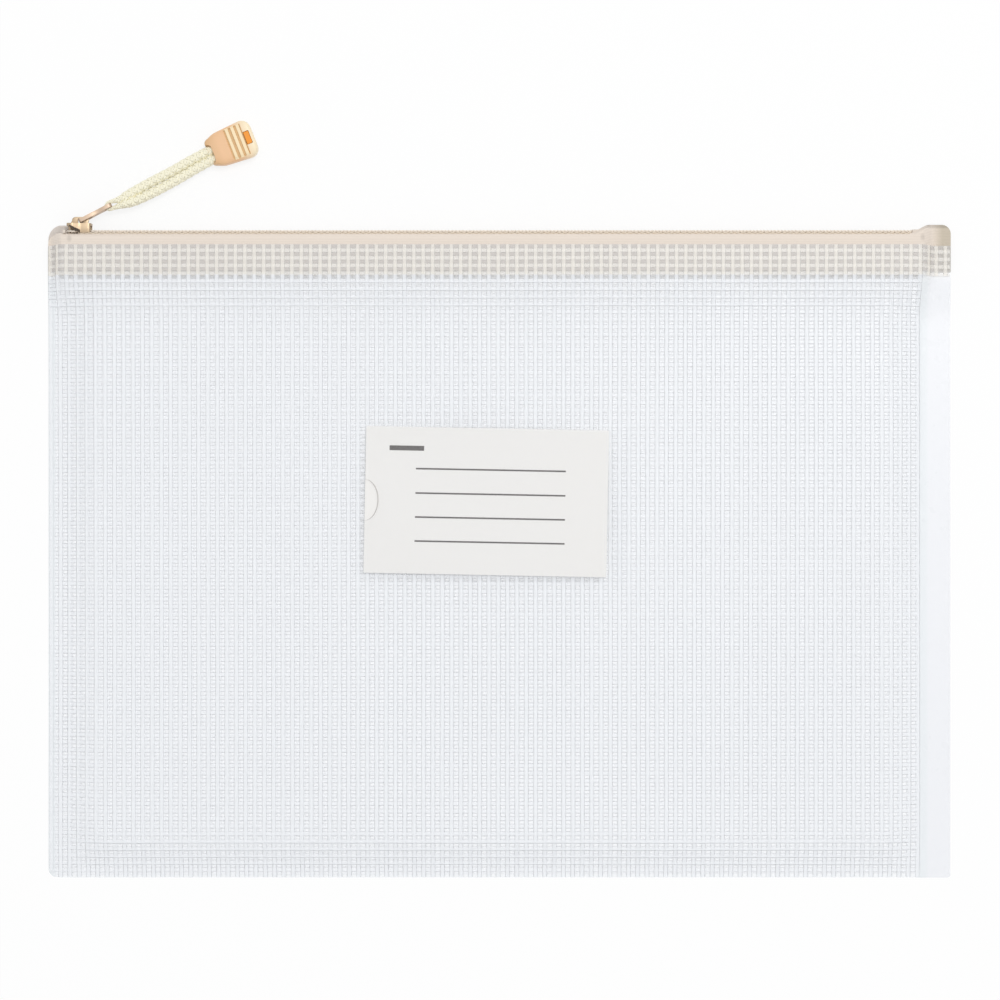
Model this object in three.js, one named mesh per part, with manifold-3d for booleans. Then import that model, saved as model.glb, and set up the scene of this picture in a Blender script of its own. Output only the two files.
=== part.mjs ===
// Mesh file bag: a flat zip pouch of film-covered mesh with a card pocket, a coil zip along its
// long edge and a doubled cord with a moulded tag on the pull.
// Millimetres. X runs along the zip, +Y towards the zip, +Z up. The bag lies on its back panel.
// The origin is on the underside of the back panel, midway between its sides and between its
// bottom edge and the fold of the zip tapes.
import * as THREE from 'three';
import { mergeVertices } from 'three/addons/utils/BufferGeometryUtils.js';
import Module from 'manifold-3d';

const wasm = await Module();
wasm.setup();

// Bag and its two sheets
const bagLength = 336.2;
const bagDepth = 240.8;
const sheetThickness = 0.4;
const bottomLeftRadius = 3.5;
const bottomRightRadius = 1.0;
const leftWeldWidth = 6.0;
const rightWeldWidth = 10.0;
const bottomWeldWidth = 2.4;
const sideSlope = 14.0;
const bottomSlope = 14.0;
const pouchTop = 6.0;
const headerRise = 16.0;
const seatGap = 0.05;

// Zip tapes: a flat part inside each sheet, a fold, and an upright part that carries the coil
const chainHeight = 4.4;
const tapeThickness = 0.5;
const tapeOverlap = 10.8;
const tapePlainStrip = 4.3;
const tapeFoldRadius = 1.0;
const tapeUpright = 2.2;
const headerLeftRun = 5.4;
const headerLeftSeam = 0.7;
const headerRightRun = 6.0;
const headerRightSeam = 6.1;
const foldSteps = 4;
const backCornerRadius = 6.0;
const backCornerRise = 2.9;
const frontCornerRadius = 4.0;
const frontCornerRise = 0.25;
const frontCutBack = 5.9;
const rightCornerRadius = 2.5;
const rightTapeLift = 1.6;

// Coil teeth
const coilPitch = 2.4;
const coilThickness = 1.3;
const coilOuter = 2.05;
const coilSpine = 0.6;
const toothReach = 0.65;
const toothNeck = 0.44;
const toothHead = 1.36;
const coilSeat = 0.1;
const coilSpread = 1.15;
const coilSpreadRun = 3.2;
const coilPartedRun = 1.2;

// Slider
const sliderLength = 9.0;
const sliderFromLeft = 7.7;
const sliderPlate = 0.9;
const sliderWall = 0.5;
const sliderRunning = 0.3;
const sliderCornerRadius = 1.2;
const innerPlateInset = 0.9;
const innerPlateThickness = 1.05;
const postLength = 2.2;
const postWidth = 0.8;
const postInset = 0.25;
const postWidest = 0.3;
const bridgeFront = 3.3;
const bridgeRear = 3.0;
const bridgeWidth = 1.6;
const bridgeWall = 0.75;
const bridgeLeg = 1.25;
const bridgeOpening = 2.0;

// Stops
const topStopLength = 1.1;
const topStopWidth = 1.7;
const bottomStopLength = 2.4;
const bottomStopWall = 0.6;
const stopGap = 0.2;
const bottomStopFromRight = 15.1;

// Pull
const pullAngle = 27.5;
const pullThickness = 1.4;
const pullWidth = 4.4;
const pullWaist = 3.6;
const pullNearBar = 0.8;
const pullNearHole = 4.0;
const pullNearHoleWidth = 2.4;
const pullEye = 2.2;
const pullEyeWidth = 2.4;
const pullFarBar = 0.9;
const pullLength = 13.4;

// Cord: a braid folded in half through the pull's eye, both ends held in the tag
const cordRadius = 1.7;
const cordPinchedRadius = 0.75;
const cordPinchRun = 7.5;
const cordEyeGap = 0.45;
const cordSides = 8;
const cordSteps = 72;
// Stations of the line midway between the two strands: x, y, z and half the strands' spacing
const cordStations = [
  [-139.9, 131.3, 4.3, 1.8],
  [-135.9, 133.2, 4.1, 1.9],
  [-129.1, 137.2, 3.8, 1.9],
  [-121.0, 142.0, 3.4, 1.9],
  [-114.6, 146.5, 3.2, 1.9],
  [-110.6, 149.1, 3.1, 1.9],
  [-107.5, 150.15, 3.1, 1.9],
  [-103.4, 151.48, 3.1, 1.9],
];

// Tag
const tagAngle = 18.0;
const tagX = -100.0;
const tagY = 152.6;
const tagLength = 18.6;
const tagMouthWidth = 11.0;
const tagEndWidth = 13.8;
const tagThickness = 6.0;
const tagFloorGap = 0.1;
const tagRounding = 1.0;
const tagCornerRadius = 2.4;
const tagCavityWidth = 8.4;
const tagCavityHeight = 4.0;
const tagCordDepth = 6.3;
const tagEndWall = 1.0;
const tagInsertGap = 0.3;
const ridgeCount = 3;
const ridgePitch = 2.0;
const ridgeWidth = 0.9;
const ridgeHeight = 0.4;
const ridgeLength = 9.6;
const windowLength = 2.3;
const windowWidth = 5.0;
const windowFromEnd = 1.1;

// Card and its pocket
const cardLength = 90.0;
const cardWidth = 54.0;
const cardThickness = 0.35;
const cardTurn = -1.1;
const cardX = -4.9;
const cardY = 19.6;
const cardPlay = 0.2;
const cardSideGap = 0.4;
const filmThickness = 0.25;
const pocketWeldWidth = 1.4;
const pocketEndMargin = 8.0;
const notchLength = 15.0;
const notchDepth = 4.7;

// Derived places
const left = -bagLength / 2;
const right = bagLength / 2;
const foldY = bagDepth / 2;
const bottomY = -bagDepth / 2;
const foldCentreY = foldY - tapeFoldRadius;
const sheetEdgeY = foldY - tapePlainStrip;
const tapeEdgeY = sheetEdgeY - tapeOverlap;
const tapeOuter = chainHeight - sheetThickness - seatGap;
const seamStack = 2 * (sheetThickness + tapeThickness) + 3 * seatGap;
const headerTop = 2 * chainHeight;
const coilLowY = foldY + coilSeat;
const coilHighY = coilLowY + coilThickness;
const sliderX = left + sliderFromLeft + sliderLength / 2;
const sliderFrontX = sliderX - sliderLength / 2;
const sliderRearX = sliderX + sliderLength / 2;
const splitX = sliderFrontX + coilPartedRun + coilSpreadRun;
const coilStartX = sliderFrontX - 0.2;
const bottomStopX = right - bottomStopFromRight;
const coilEndX = bottomStopX + bottomStopLength - bottomStopWall - stopGap;
const outerPlateLowY = coilHighY + sliderRunning;
const outerPlateHighY = outerPlateLowY + sliderPlate;
const innerPlateHighY = foldY - tapeThickness - sliderRunning;
const innerPlateLowY = innerPlateHighY - innerPlateThickness;
const pivotX = sliderX + 0.3;
const pivotY = outerPlateHighY + bridgeOpening / 2;
const degree = Math.PI / 180;

function smoothStep(value) {
  const t = Math.min(Math.max(value, 0), 1);
  return t * t * (3 - 2 * t);
}

function range(start, end, count) {
  return Array.from({ length: count + 1 }, (_, i) => start + ((end - start) * i) / count);
}

// Solids: a closed three.js geometry to a manifold solid and back
function toSolid(geometry) {
  const bare = geometry.clone();
  bare.deleteAttribute('normal');
  bare.deleteAttribute('uv');
  const merged = mergeVertices(bare, 1e-5);
  const mesh = new wasm.Mesh({
    numProp: 3,
    vertProperties: Float32Array.from(merged.attributes.position.array),
    triVerts: Uint32Array.from(merged.index.array),
  });
  return new wasm.Manifold(mesh);
}

function toGeometry(solid) {
  const mesh = solid.getMesh();
  const geometry = new THREE.BufferGeometry();
  geometry.setAttribute('position', new THREE.BufferAttribute(mesh.vertProperties, 3));
  geometry.setIndex(new THREE.BufferAttribute(mesh.triVerts, 1));
  geometry.computeVertexNormals();
  return geometry;
}

function joined(first, ...others) {
  return toGeometry(others.reduce((solid, next) => solid.add(toSolid(next)), toSolid(first)));
}

function cutBy(first, ...others) {
  return toGeometry(others.reduce((solid, next) => solid.subtract(toSolid(next)), toSolid(first)));
}

function trimmedTo(first, outline) {
  return toGeometry(toSolid(first).intersect(toSolid(outline)));
}

function box(sizeX, sizeY, sizeZ, x, y, z) {
  return new THREE.BoxGeometry(sizeX, sizeY, sizeZ).translate(x, y, z);
}

// A flat outline in X and Z, thick along Y from lowY to highY
function uprightPlate(shape, lowY, highY) {
  const options = { depth: highY - lowY, bevelEnabled: false, curveSegments: 5 };
  return new THREE.ExtrudeGeometry(shape, options).rotateX(Math.PI / 2).translate(0, highY, 0);
}

function flatPlate(shape, lowZ, highZ, curveSegments = 6) {
  const options = { depth: highZ - lowZ, bevelEnabled: false, curveSegments };
  return new THREE.ExtrudeGeometry(shape, options).translate(0, 0, lowZ);
}

// An outline through corners given as [x, y, radius], each corner rounded by a quadratic curve.
// A rounding is limited by the edges that meet in its corner.
function roundedOutline(corners) {
  const shape = new THREE.Shape();
  corners.forEach(([x, y, wanted], i) => {
    const before = corners[(i + corners.length - 1) % corners.length];
    const after = corners[(i + 1) % corners.length];
    const edges = [before, after].map(([px, py]) => Math.hypot(px - x, py - y));
    const radius = Math.min(wanted, 0.48 * Math.min(...edges));
    const towards = ([px, py]) => {
      const gap = Math.hypot(px - x, py - y);
      return [x + ((px - x) * radius) / gap, y + ((py - y) * radius) / gap];
    };
    const [inX, inY] = towards(before);
    const [outX, outY] = towards(after);
    if (i === 0) shape.moveTo(inX, inY);
    else shape.lineTo(inX, inY);
    if (radius > 0) shape.quadraticCurveTo(x, y, outX, outY);
  });
  shape.closePath();
  return shape;
}

// A closed body through rings of points: each ring is joined to the next and both ends are shut
function loft(rings) {
  const ringLength = rings[0].length;
  const positions = rings.flat(2);
  const index = [];
  for (let r = 0; r + 1 < rings.length; r += 1) {
    for (let i = 0; i < ringLength; i += 1) {
      const a = r * ringLength + i;
      const b = r * ringLength + ((i + 1) % ringLength);
      index.push(a, b, b + ringLength, a, b + ringLength, a + ringLength);
    }
  }
  return { positions, index, ringLength };
}

function closedGeometry(positions, index) {
  const geometry = new THREE.BufferGeometry();
  geometry.setAttribute('position', new THREE.Float32BufferAttribute(positions, 3));
  geometry.setIndex(index);
  geometry.computeVertexNormals();
  return geometry;
}

// How far the header stands up at x: 0 in the side seams, 1 where the slider runs
function headerStand(x) {
  const fromLeft = (x - left - headerLeftSeam) / headerLeftRun;
  const fromRight = (right - headerRightSeam - x) / headerRightRun;
  return smoothStep(Math.min(fromLeft, fromRight));
}

// How far a coil row is pushed out at x by the slider's post
function rowSpread(x) {
  return coilSpread * smoothStep((splitX - x) / coilSpreadRun);
}

const headerLeftStations = range(left + headerLeftSeam, left + headerLeftSeam + headerLeftRun, 5);
const headerRightStations = range(
  right - headerRightSeam - headerRightRun,
  right - headerRightSeam,
  4,
);
const spreadStations = [sliderFrontX, ...range(sliderFrontX + coilPartedRun, splitX, 4)];

// Sheets
function bagOutline() {
  const reach = 10;
  return roundedOutline([
    [left, bottomY, bottomLeftRadius],
    [right, bottomY, bottomRightRadius],
    [right, foldY + reach, 0],
    [left, foldY + reach, 0],
  ]);
}

function pouchShape(x, y) {
  const sides = Math.min(
    (x - left - leftWeldWidth) / sideSlope,
    (right - rightWeldWidth - x) / sideSlope,
  );
  const bottom = (y - bottomY - bottomWeldWidth) / bottomSlope;
  return smoothStep(sides) * smoothStep(bottom);
}

function frontSheetUnderside(x, y) {
  const body = sheetThickness + (pouchTop - 2 * sheetThickness) * pouchShape(x, y);
  const seam = seamStack - sheetThickness;
  const header = seam + (headerTop - sheetThickness - seam) * headerStand(x);
  const blend = smoothStep((y - tapeEdgeY + 1 + headerRise) / headerRise);
  return body + (header - body) * blend;
}

function frontSheet() {
  const xs = [
    left,
    ...headerLeftStations,
    ...range(left + leftWeldWidth + sideSlope * 0.25, left + leftWeldWidth + sideSlope, 3),
    ...range(right - rightWeldWidth - sideSlope, headerRightStations[0] - 0.5, 3),
    ...headerRightStations,
    right,
  ];
  const ys = [
    bottomY,
    ...range(bottomY + bottomWeldWidth, bottomY + bottomWeldWidth + bottomSlope, 4),
    ...range(tapeEdgeY - 1 - headerRise, tapeEdgeY - 1, 4),
    sheetEdgeY,
  ];
  const positions = [];
  const index = [];
  const layer = xs.length * ys.length;
  for (const lift of [0, sheetThickness]) {
    for (const y of ys) {
      for (const x of xs) positions.push(x, y, frontSheetUnderside(x, y) + lift);
    }
  }
  const at = (i, j) => j * xs.length + i;
  for (let j = 0; j + 1 < ys.length; j += 1) {
    for (let i = 0; i + 1 < xs.length; i += 1) {
      const [a, b, c, d] = [at(i, j), at(i + 1, j), at(i + 1, j + 1), at(i, j + 1)];
      index.push(a, c, b, a, d, c);
      index.push(a + layer, b + layer, c + layer, a + layer, c + layer, d + layer);
    }
  }
  const rim = [];
  for (let i = 0; i + 1 < xs.length; i += 1) rim.push(at(i, 0));
  for (let j = 0; j + 1 < ys.length; j += 1) rim.push(at(xs.length - 1, j));
  for (let i = xs.length - 1; i > 0; i -= 1) rim.push(at(i, ys.length - 1));
  for (let j = ys.length - 1; j > 0; j -= 1) rim.push(at(0, j));
  rim.forEach((a, i) => {
    const b = rim[(i + 1) % rim.length];
    index.push(a, b, b + layer, a, b + layer, a + layer);
  });
  const outline = flatPlate(bagOutline(), -1, headerTop + 1);
  return trimmedTo(closedGeometry(positions, index), outline);
}

function backSheet() {
  const shape = roundedOutline([
    [left, bottomY, bottomLeftRadius],
    [right, bottomY, bottomRightRadius],
    [right, sheetEdgeY, 0],
    [left, sheetEdgeY, 0],
  ]);
  return flatPlate(shape, 0, sheetThickness);
}

// Zip tapes. A section is walked along its outer face to the free edge and back on the inner one.
function tapeSection(x, side) {
  const stand = headerStand(x);
  const seamOuter = seamStack - sheetThickness - seatGap - chainHeight;
  const outer = side > 0 ? seamOuter + (tapeOuter - seamOuter) * stand : tapeOuter;
  const fold = Math.asin(stand);
  const unfolded = (Math.PI / 2 - fold) * (tapeFoldRadius - tapeThickness / 2);
  const upright = tapeUpright - rowSpread(x) * stand + unfolded;
  const lift = x > 0 ? rightTapeLift * (1 - stand) : 0;
  const face = (radius) => {
    const line = [[tapeEdgeY, outer - tapeFoldRadius + radius]];
    for (const angle of range(0, fold, foldSteps)) {
      const y = foldCentreY + lift + radius * Math.sin(angle);
      line.push([y, outer - tapeFoldRadius + radius * Math.cos(angle)]);
    }
    const [y, w] = line[line.length - 1];
    line.push([y + upright * Math.cos(fold), w - upright * Math.sin(fold)]);
    return line;
  };
  const outerFace = face(tapeFoldRadius);
  const innerFace = face(tapeFoldRadius - tapeThickness).reverse();
  const ring = [...outerFace, ...innerFace].map(([y, w]) => [x, y, chainHeight + side * w]);
  return side > 0 ? ring.reverse() : ring;
}

function tape(side, outlineCorners) {
  const xs = [
    left,
    ...headerLeftStations,
    ...spreadStations,
    bottomStopX - 2,
    ...headerRightStations,
    right,
  ];
  const { positions, index, ringLength } = loft(xs.map((x) => tapeSection(x, side)));
  const half = ringLength / 2;
  const last = (xs.length - 1) * ringLength;
  for (let i = 0; i + 1 < half; i += 1) {
    const [a, b, c, d] = [i, i + 1, ringLength - 2 - i, ringLength - 1 - i];
    index.push(a, c, b, a, d, c);
    index.push(last + a, last + b, last + c, last + a, last + c, last + d);
  }
  const outline = flatPlate(roundedOutline(outlineCorners), -1, headerTop + 1);
  return trimmedTo(closedGeometry(positions, index), outline);
}

function backTape() {
  const top = foldY + backCornerRise;
  return tape(-1, [
    [left, tapeEdgeY - 1, 0],
    [right, tapeEdgeY - 1, 0],
    [right, foldY + backCornerRise + rightTapeLift, rightCornerRadius],
    [right - 40, foldY + backCornerRise + rightTapeLift, 0],
    [left + 40, top, 0],
    [left, top, backCornerRadius],
  ]);
}

function frontTape() {
  const clear = foldY + backCornerRise + rightTapeLift;
  const cut = foldY + frontCornerRise;
  return tape(1, [
    [left, tapeEdgeY - 1, 0],
    [right, tapeEdgeY - 1, 0],
    [right, clear, rightCornerRadius],
    [left + frontCutBack, clear, 0],
    [left + frontCutBack, cut, 0],
    [left, cut, frontCornerRadius],
  ]);
}

// Coil rows. Every tooth has a neck and a wider head that seats between two heads of the
// other row. The rows part round the slider's post.
function coilRow(side) {
  const spineInner = coilOuter - coilSpine;
  const first = coilStartX + coilPitch * (side > 0 ? 0.35 : 0.85);
  const outline = [];
  const put = (x, w) => outline.push(new THREE.Vector2(x, side * (w + rowSpread(x))));
  put(coilStartX, coilOuter);
  spreadStations.filter((x) => x > coilStartX + 0.1).forEach((x) => put(x, coilOuter));
  put(coilEndX, coilOuter);
  put(coilEndX, spineInner);
  const count = Math.floor((coilEndX - toothHead / 2 - stopGap - first) / coilPitch);
  for (let i = count; i >= 0; i -= 1) {
    const x = first + i * coilPitch;
    put(x + toothNeck / 2, spineInner);
    put(x + toothNeck / 2, 0);
    put(x + toothHead / 2, -toothReach / 2);
    put(x, -toothReach);
    put(x - toothHead / 2, -toothReach / 2);
    put(x - toothNeck / 2, 0);
    put(x - toothNeck / 2, spineInner);
  }
  put(coilStartX, spineInner);
  return uprightPlate(new THREE.Shape(outline), coilLowY, coilHighY);
}

// Slider. Its plan is wide at the mouth, where the rows part, and narrow at the rear.
function sliderPlan(mouthHalf, rearHalf, trimFront, trimRear) {
  const front = sliderFrontX + trimFront;
  const rear = sliderRearX - trimRear;
  const shoulder = sliderFrontX + coilPartedRun + 0.7;
  const waist = splitX + 0.4;
  return roundedOutline([
    [front, -mouthHalf * 0.85, sliderCornerRadius],
    [shoulder, -mouthHalf, 0.8],
    [waist, -rearHalf, 0.8],
    [rear, -rearHalf, sliderCornerRadius],
    [rear, rearHalf, sliderCornerRadius],
    [waist, rearHalf, 0.8],
    [shoulder, mouthHalf, 0.8],
    [front, mouthHalf * 0.85, sliderCornerRadius],
  ]);
}

function channelPlan() {
  const rearHalf = coilOuter + sliderRunning;
  const mouthHalf = rearHalf + coilSpread;
  const shoulder = sliderFrontX + coilPartedRun + 0.4;
  const waist = splitX + 0.2;
  const reach = 1;
  return roundedOutline([
    [sliderFrontX - reach, -mouthHalf, 0],
    [shoulder, -mouthHalf, 0.5],
    [waist, -rearHalf, 0.5],
    [sliderRearX + reach, -rearHalf, 0],
    [sliderRearX + reach, rearHalf, 0],
    [waist, rearHalf, 0.5],
    [shoulder, mouthHalf, 0.5],
    [sliderFrontX - reach, mouthHalf, 0],
  ]);
}

function postPlan() {
  const front = sliderFrontX + postInset;
  return roundedOutline([
    [front, 0, 0.2],
    [front + postLength * postWidest, -postWidth / 2, 0.3],
    [front + postLength, 0, 0.2],
    [front + postLength * postWidest, postWidth / 2, 0.3],
  ]);
}

function bridge() {
  const top = outerPlateHighY + bridgeOpening + bridgeWall;
  const foot = outerPlateHighY - sliderPlate / 2;
  const front = sliderX - bridgeFront;
  const rear = sliderX + bridgeRear;
  const arch = roundedOutline([
    [front, foot, 0],
    [rear, foot, 0],
    [rear, top, 1.6],
    [front, top, 2.2],
  ]);
  const opening = roundedOutline([
    [front + bridgeLeg, outerPlateHighY, 0.1],
    [rear - bridgeLeg, outerPlateHighY, 0.1],
    [rear - bridgeLeg, top - bridgeWall, 0.5],
    [front + bridgeLeg, top - bridgeWall, 0.8],
  ]);
  arch.holes.push(opening);
  return flatPlate(arch, -bridgeWidth / 2, bridgeWidth / 2, 5);
}

function slider() {
  const mouthHalf = coilOuter + coilSpread + sliderRunning + sliderWall;
  const rearHalf = coilOuter + sliderRunning + sliderWall;
  const flangeLowY = foldY + sliderRunning;
  const shell = uprightPlate(sliderPlan(mouthHalf, rearHalf, 0, 0), flangeLowY, outerPlateHighY);
  const channel = uprightPlate(channelPlan(), flangeLowY - 1, outerPlateLowY);
  const innerPlan = sliderPlan(mouthHalf - innerPlateInset, rearHalf - 0.3, 0.2, 0.2);
  const inner = uprightPlate(innerPlan, innerPlateLowY, innerPlateHighY);
  const sink = 0.3;
  const post = uprightPlate(postPlan(), innerPlateHighY - sink, outerPlateLowY + sink);
  const opened = cutBy(shell, channel);
  return joined(opened, inner, post, bridge()).translate(-pivotX, -pivotY, 0);
}

// Stops. Each is drawn round the middle of its own length.
function stopBlock(length, lowW, highW, lowY, highY) {
  const shape = roundedOutline([
    [-length / 2, lowW, 0.25],
    [length / 2, lowW, 0.25],
    [length / 2, highW, 0.25],
    [-length / 2, highW, 0.25],
  ]);
  return uprightPlate(shape, lowY, highY);
}

function topStop(side) {
  const low = coilOuter + coilSpread - topStopWidth;
  const high = coilOuter + coilSpread;
  const [lowW, highW] = side > 0 ? [low, high] : [-high, -low];
  return stopBlock(topStopLength, lowW, highW, coilLowY, coilHighY);
}

// The bottom stop is a clip bent round the ends of both rows
function bottomStop() {
  const inner = coilOuter + stopGap;
  const half = inner + bottomStopWall;
  const topY = coilHighY + stopGap + bottomStopWall;
  const clip = stopBlock(bottomStopLength, -half, half, coilLowY, topY);
  const room = box(
    bottomStopLength,
    coilHighY + stopGap - coilLowY + 1,
    2 * inner,
    -bottomStopWall,
    (coilHighY + stopGap + coilLowY - 1) / 2,
    0,
  );
  return cutBy(clip, room);
}

// Pull. Drawn along +X from its near bar, on which it swings, then turned to its angle.
function pull() {
  const near = -pullNearBar / 2;
  const far = near + pullLength;
  const half = pullWidth / 2;
  const waist = pullWaist / 2;
  const nearHoleEnd = pullNearBar / 2 + pullNearHole;
  const eyeStart = far - pullFarBar - pullEye;
  const shape = roundedOutline([
    [near, -half, 0.8],
    [nearHoleEnd, -half, 1.2],
    [(nearHoleEnd + eyeStart) / 2, -waist, 1.6],
    [eyeStart, -half, 1.0],
    [far, -half, 1.3],
    [far, half, 1.3],
    [eyeStart, half, 1.0],
    [(nearHoleEnd + eyeStart) / 2, waist, 1.6],
    [nearHoleEnd, half, 1.2],
    [near, half, 0.8],
  ]);
  const hole = (start, end, width) => roundedOutline([
    [start, -width / 2, 0.4],
    [end, -width / 2, 0.4],
    [end, width / 2, 0.4],
    [start, width / 2, 0.4],
  ]);
  shape.holes.push(hole(pullNearBar / 2, nearHoleEnd, pullNearHoleWidth));
  shape.holes.push(hole(eyeStart, far - pullFarBar, pullEyeWidth));
  return uprightPlate(shape, -pullThickness / 2, pullThickness / 2);
}

function farBarCentre() {
  const reach = pullLength - pullNearBar / 2 - pullFarBar / 2;
  return [
    pivotX + reach * Math.cos(pullAngle * degree),
    pivotY + reach * Math.sin(pullAngle * degree),
  ];
}

// Cord. One line of points: up one strand, round the far bar through the eye, down the other.
function cordPoints() {
  const [barX, barY] = farBarCentre();
  const along = new THREE.Vector3(Math.cos(pullAngle * degree), Math.sin(pullAngle * degree), 0);
  const across = new THREE.Vector3(-along.y, along.x, 0);
  const bar = new THREE.Vector3(barX, barY, chainHeight);
  const strandOffset = pullThickness / 2 + cordEyeGap + cordPinchedRadius;
  const eyeOffset = (pullFarBar + pullEye) / 2;
  const turn = range(90, 270, 6).map((angle) => bar
    .clone()
    .addScaledVector(along, eyeOffset * Math.cos(angle * degree))
    .addScaledVector(across, strandOffset * Math.sin(angle * degree)));
  const beside = (side) => cordStations.map(([x, y, z, spread], i) => {
    const before = cordStations[Math.max(i - 1, 0)];
    const after = cordStations[Math.min(i + 1, cordStations.length - 1)];
    const heading = new THREE.Vector3(after[0] - before[0], after[1] - before[1], 0).normalize();
    return new THREE.Vector3(
      x - heading.y * spread * side,
      y + heading.x * spread * side,
      z,
    );
  });
  return [...beside(1).reverse(), ...turn, ...beside(-1)];
}

function cord() {
  const points = cordPoints();
  const curve = new THREE.CatmullRomCurve3(points, false, 'centripetal');
  const total = curve.getLength();
  const up = new THREE.Vector3(0, 0, 1);
  const rings = range(0, 1, cordSteps).map((t) => {
    const centre = curve.getPointAt(t);
    const heading = curve.getTangentAt(t);
    const side = new THREE.Vector3().crossVectors(up, heading).normalize();
    const top = new THREE.Vector3().crossVectors(heading, side);
    const fromFold = Math.abs(t - 0.5) * total;
    const grow = smoothStep((fromFold - 2) / cordPinchRun);
    const radius = cordPinchedRadius + (cordRadius - cordPinchedRadius) * grow;
    return range(0, 360, cordSides).slice(0, cordSides).map((angle) => centre
      .clone()
      .addScaledVector(side, radius * Math.cos(angle * degree))
      .addScaledVector(top, radius * Math.sin(angle * degree))
      .toArray());
  });
  const { positions, index, ringLength } = loft(rings);
  const last = (rings.length - 1) * ringLength;
  for (let i = 1; i + 1 < ringLength; i += 1) {
    index.push(0, i + 1, i);
    index.push(last, last + i, last + i + 1);
  }
  return closedGeometry(positions, index);
}

// Tag. Drawn along +X from its mouth and centred on its own axis, then turned to its angle.
function tagBody() {
  const mouth = tagMouthWidth / 2 - tagRounding;
  const end = tagEndWidth / 2 - tagRounding;
  const shape = roundedOutline([
    [tagRounding, -mouth, tagCornerRadius * 0.6],
    [tagLength - tagRounding, -end, tagCornerRadius],
    [tagLength - tagRounding, end, tagCornerRadius],
    [tagRounding, mouth, tagCornerRadius * 0.6],
  ]);
  const outer = new THREE.ExtrudeGeometry(shape, {
    depth: tagThickness - 2 * tagRounding,
    bevelThickness: tagRounding,
    bevelSize: tagRounding,
    bevelSegments: 3,
    curveSegments: 4,
  }).translate(0, 0, -tagThickness / 2 + tagRounding);
  const surface = tagThickness / 2;
  const ridges = range(0, ridgeCount - 1, ridgeCount - 1).map((i) => {
    const x = tagLength / 2 + i * ridgePitch;
    return box(ridgeWidth, ridgeLength, 2 * ridgeHeight, x, 0, surface);
  });
  const cavityLength = tagLength - tagEndWall;
  const cavity = box(
    cavityLength + 1,
    tagCavityWidth,
    tagCavityHeight,
    (cavityLength - 1) / 2,
    0,
    0,
  );
  const windowX = tagLength - windowFromEnd - windowLength / 2;
  const window = box(windowLength, windowWidth, tagThickness, windowX, 0, tagThickness / 2);
  const shell = joined(outer, ...ridges);
  return cutBy(shell, cavity, window);
}

function tagInsert() {
  const start = tagCordDepth + tagInsertGap;
  const end = tagLength - tagEndWall - tagInsertGap;
  const height = tagCavityHeight - 2 * tagInsertGap;
  const width = tagCavityWidth - 2 * tagInsertGap;
  const core = box(end - start, width, height, (start + end) / 2, 0, 0);
  const windowX = tagLength - windowFromEnd - windowLength / 2;
  const top = tagThickness / 2 - tagInsertGap;
  const boss = box(
    windowLength - 2 * tagInsertGap,
    windowWidth - 2 * tagInsertGap,
    top,
    windowX - tagInsertGap / 2,
    0,
    top / 2,
  );
  return joined(core, boss);
}

// Card and pocket, both drawn round the card's centre, then turned together
function card() {
  const [x, y] = [cardLength / 2, cardWidth / 2];
  const shape = roundedOutline([
    [-x, -y, 0.4],
    [x, -y, 0.4],
    [x, y, 0.4],
    [-x, y, 0.4],
  ]);
  return flatPlate(shape, cardPlay, cardPlay + cardThickness, 2);
}

function pocket() {
  const leftEdge = -cardLength / 2;
  const rightEdge = cardLength / 2 + pocketEndMargin;
  const halfHeight = cardWidth / 2 + cardSideGap + pocketWeldWidth;
  const under = 2 * cardPlay + cardThickness;
  const film = new THREE.Shape();
  film.moveTo(leftEdge, -halfHeight);
  film.lineTo(rightEdge, -halfHeight);
  film.lineTo(rightEdge, halfHeight);
  film.lineTo(leftEdge, halfHeight);
  film.lineTo(leftEdge, notchLength / 2);
  film.absellipse(leftEdge, 0, notchDepth, notchLength / 2, Math.PI / 2, -Math.PI / 2, true);
  film.closePath();
  const innerHeight = halfHeight - pocketWeldWidth;
  const innerRight = cardLength / 2 + cardSideGap;
  const weld = roundedOutline([
    [leftEdge, -halfHeight, 0],
    [rightEdge, -halfHeight, 0],
    [rightEdge, halfHeight, 0],
    [leftEdge, halfHeight, 0],
    [leftEdge, innerHeight, 0],
    [innerRight, innerHeight, 0],
    [innerRight, -innerHeight, 0],
    [leftEdge, -innerHeight, 0],
  ]);
  const sink = filmThickness / 2;
  return joined(
    flatPlate(film, under, under + filmThickness, 10),
    flatPlate(weld, seatGap, under + sink),
  );
}

// Materials
function finish(color, roughness, metalness = 0, opacity = 1) {
  const transparent = opacity < 1;
  return new THREE.MeshStandardMaterial({ color, roughness, metalness, opacity, transparent });
}

function piece(name, geometry, material) {
  const mesh = new THREE.Mesh(geometry, material);
  mesh.name = name;
  return mesh;
}

// Assembly
const fileBag = new THREE.Group();
fileBag.add(piece('back_panel', backSheet(), finish(0xeceef2, 0.45, 0, 0.6)));
fileBag.add(piece('front_panel', frontSheet(), finish(0xeff0f4, 0.45, 0, 0.6)));
fileBag.add(piece('zip_tape_back', backTape(), finish(0xf0e6d8, 0.9)));
fileBag.add(piece('zip_tape_front', frontTape(), finish(0xf2e6d8, 0.9)));

const chain = new THREE.Group();
chain.position.set(0, 0, chainHeight);
fileBag.add(chain);
chain.add(piece('zip_coil_back', coilRow(-1), finish(0xe6dcb8, 0.5)));
chain.add(piece('zip_coil_front', coilRow(1), finish(0xe6dcb8, 0.5)));

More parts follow.
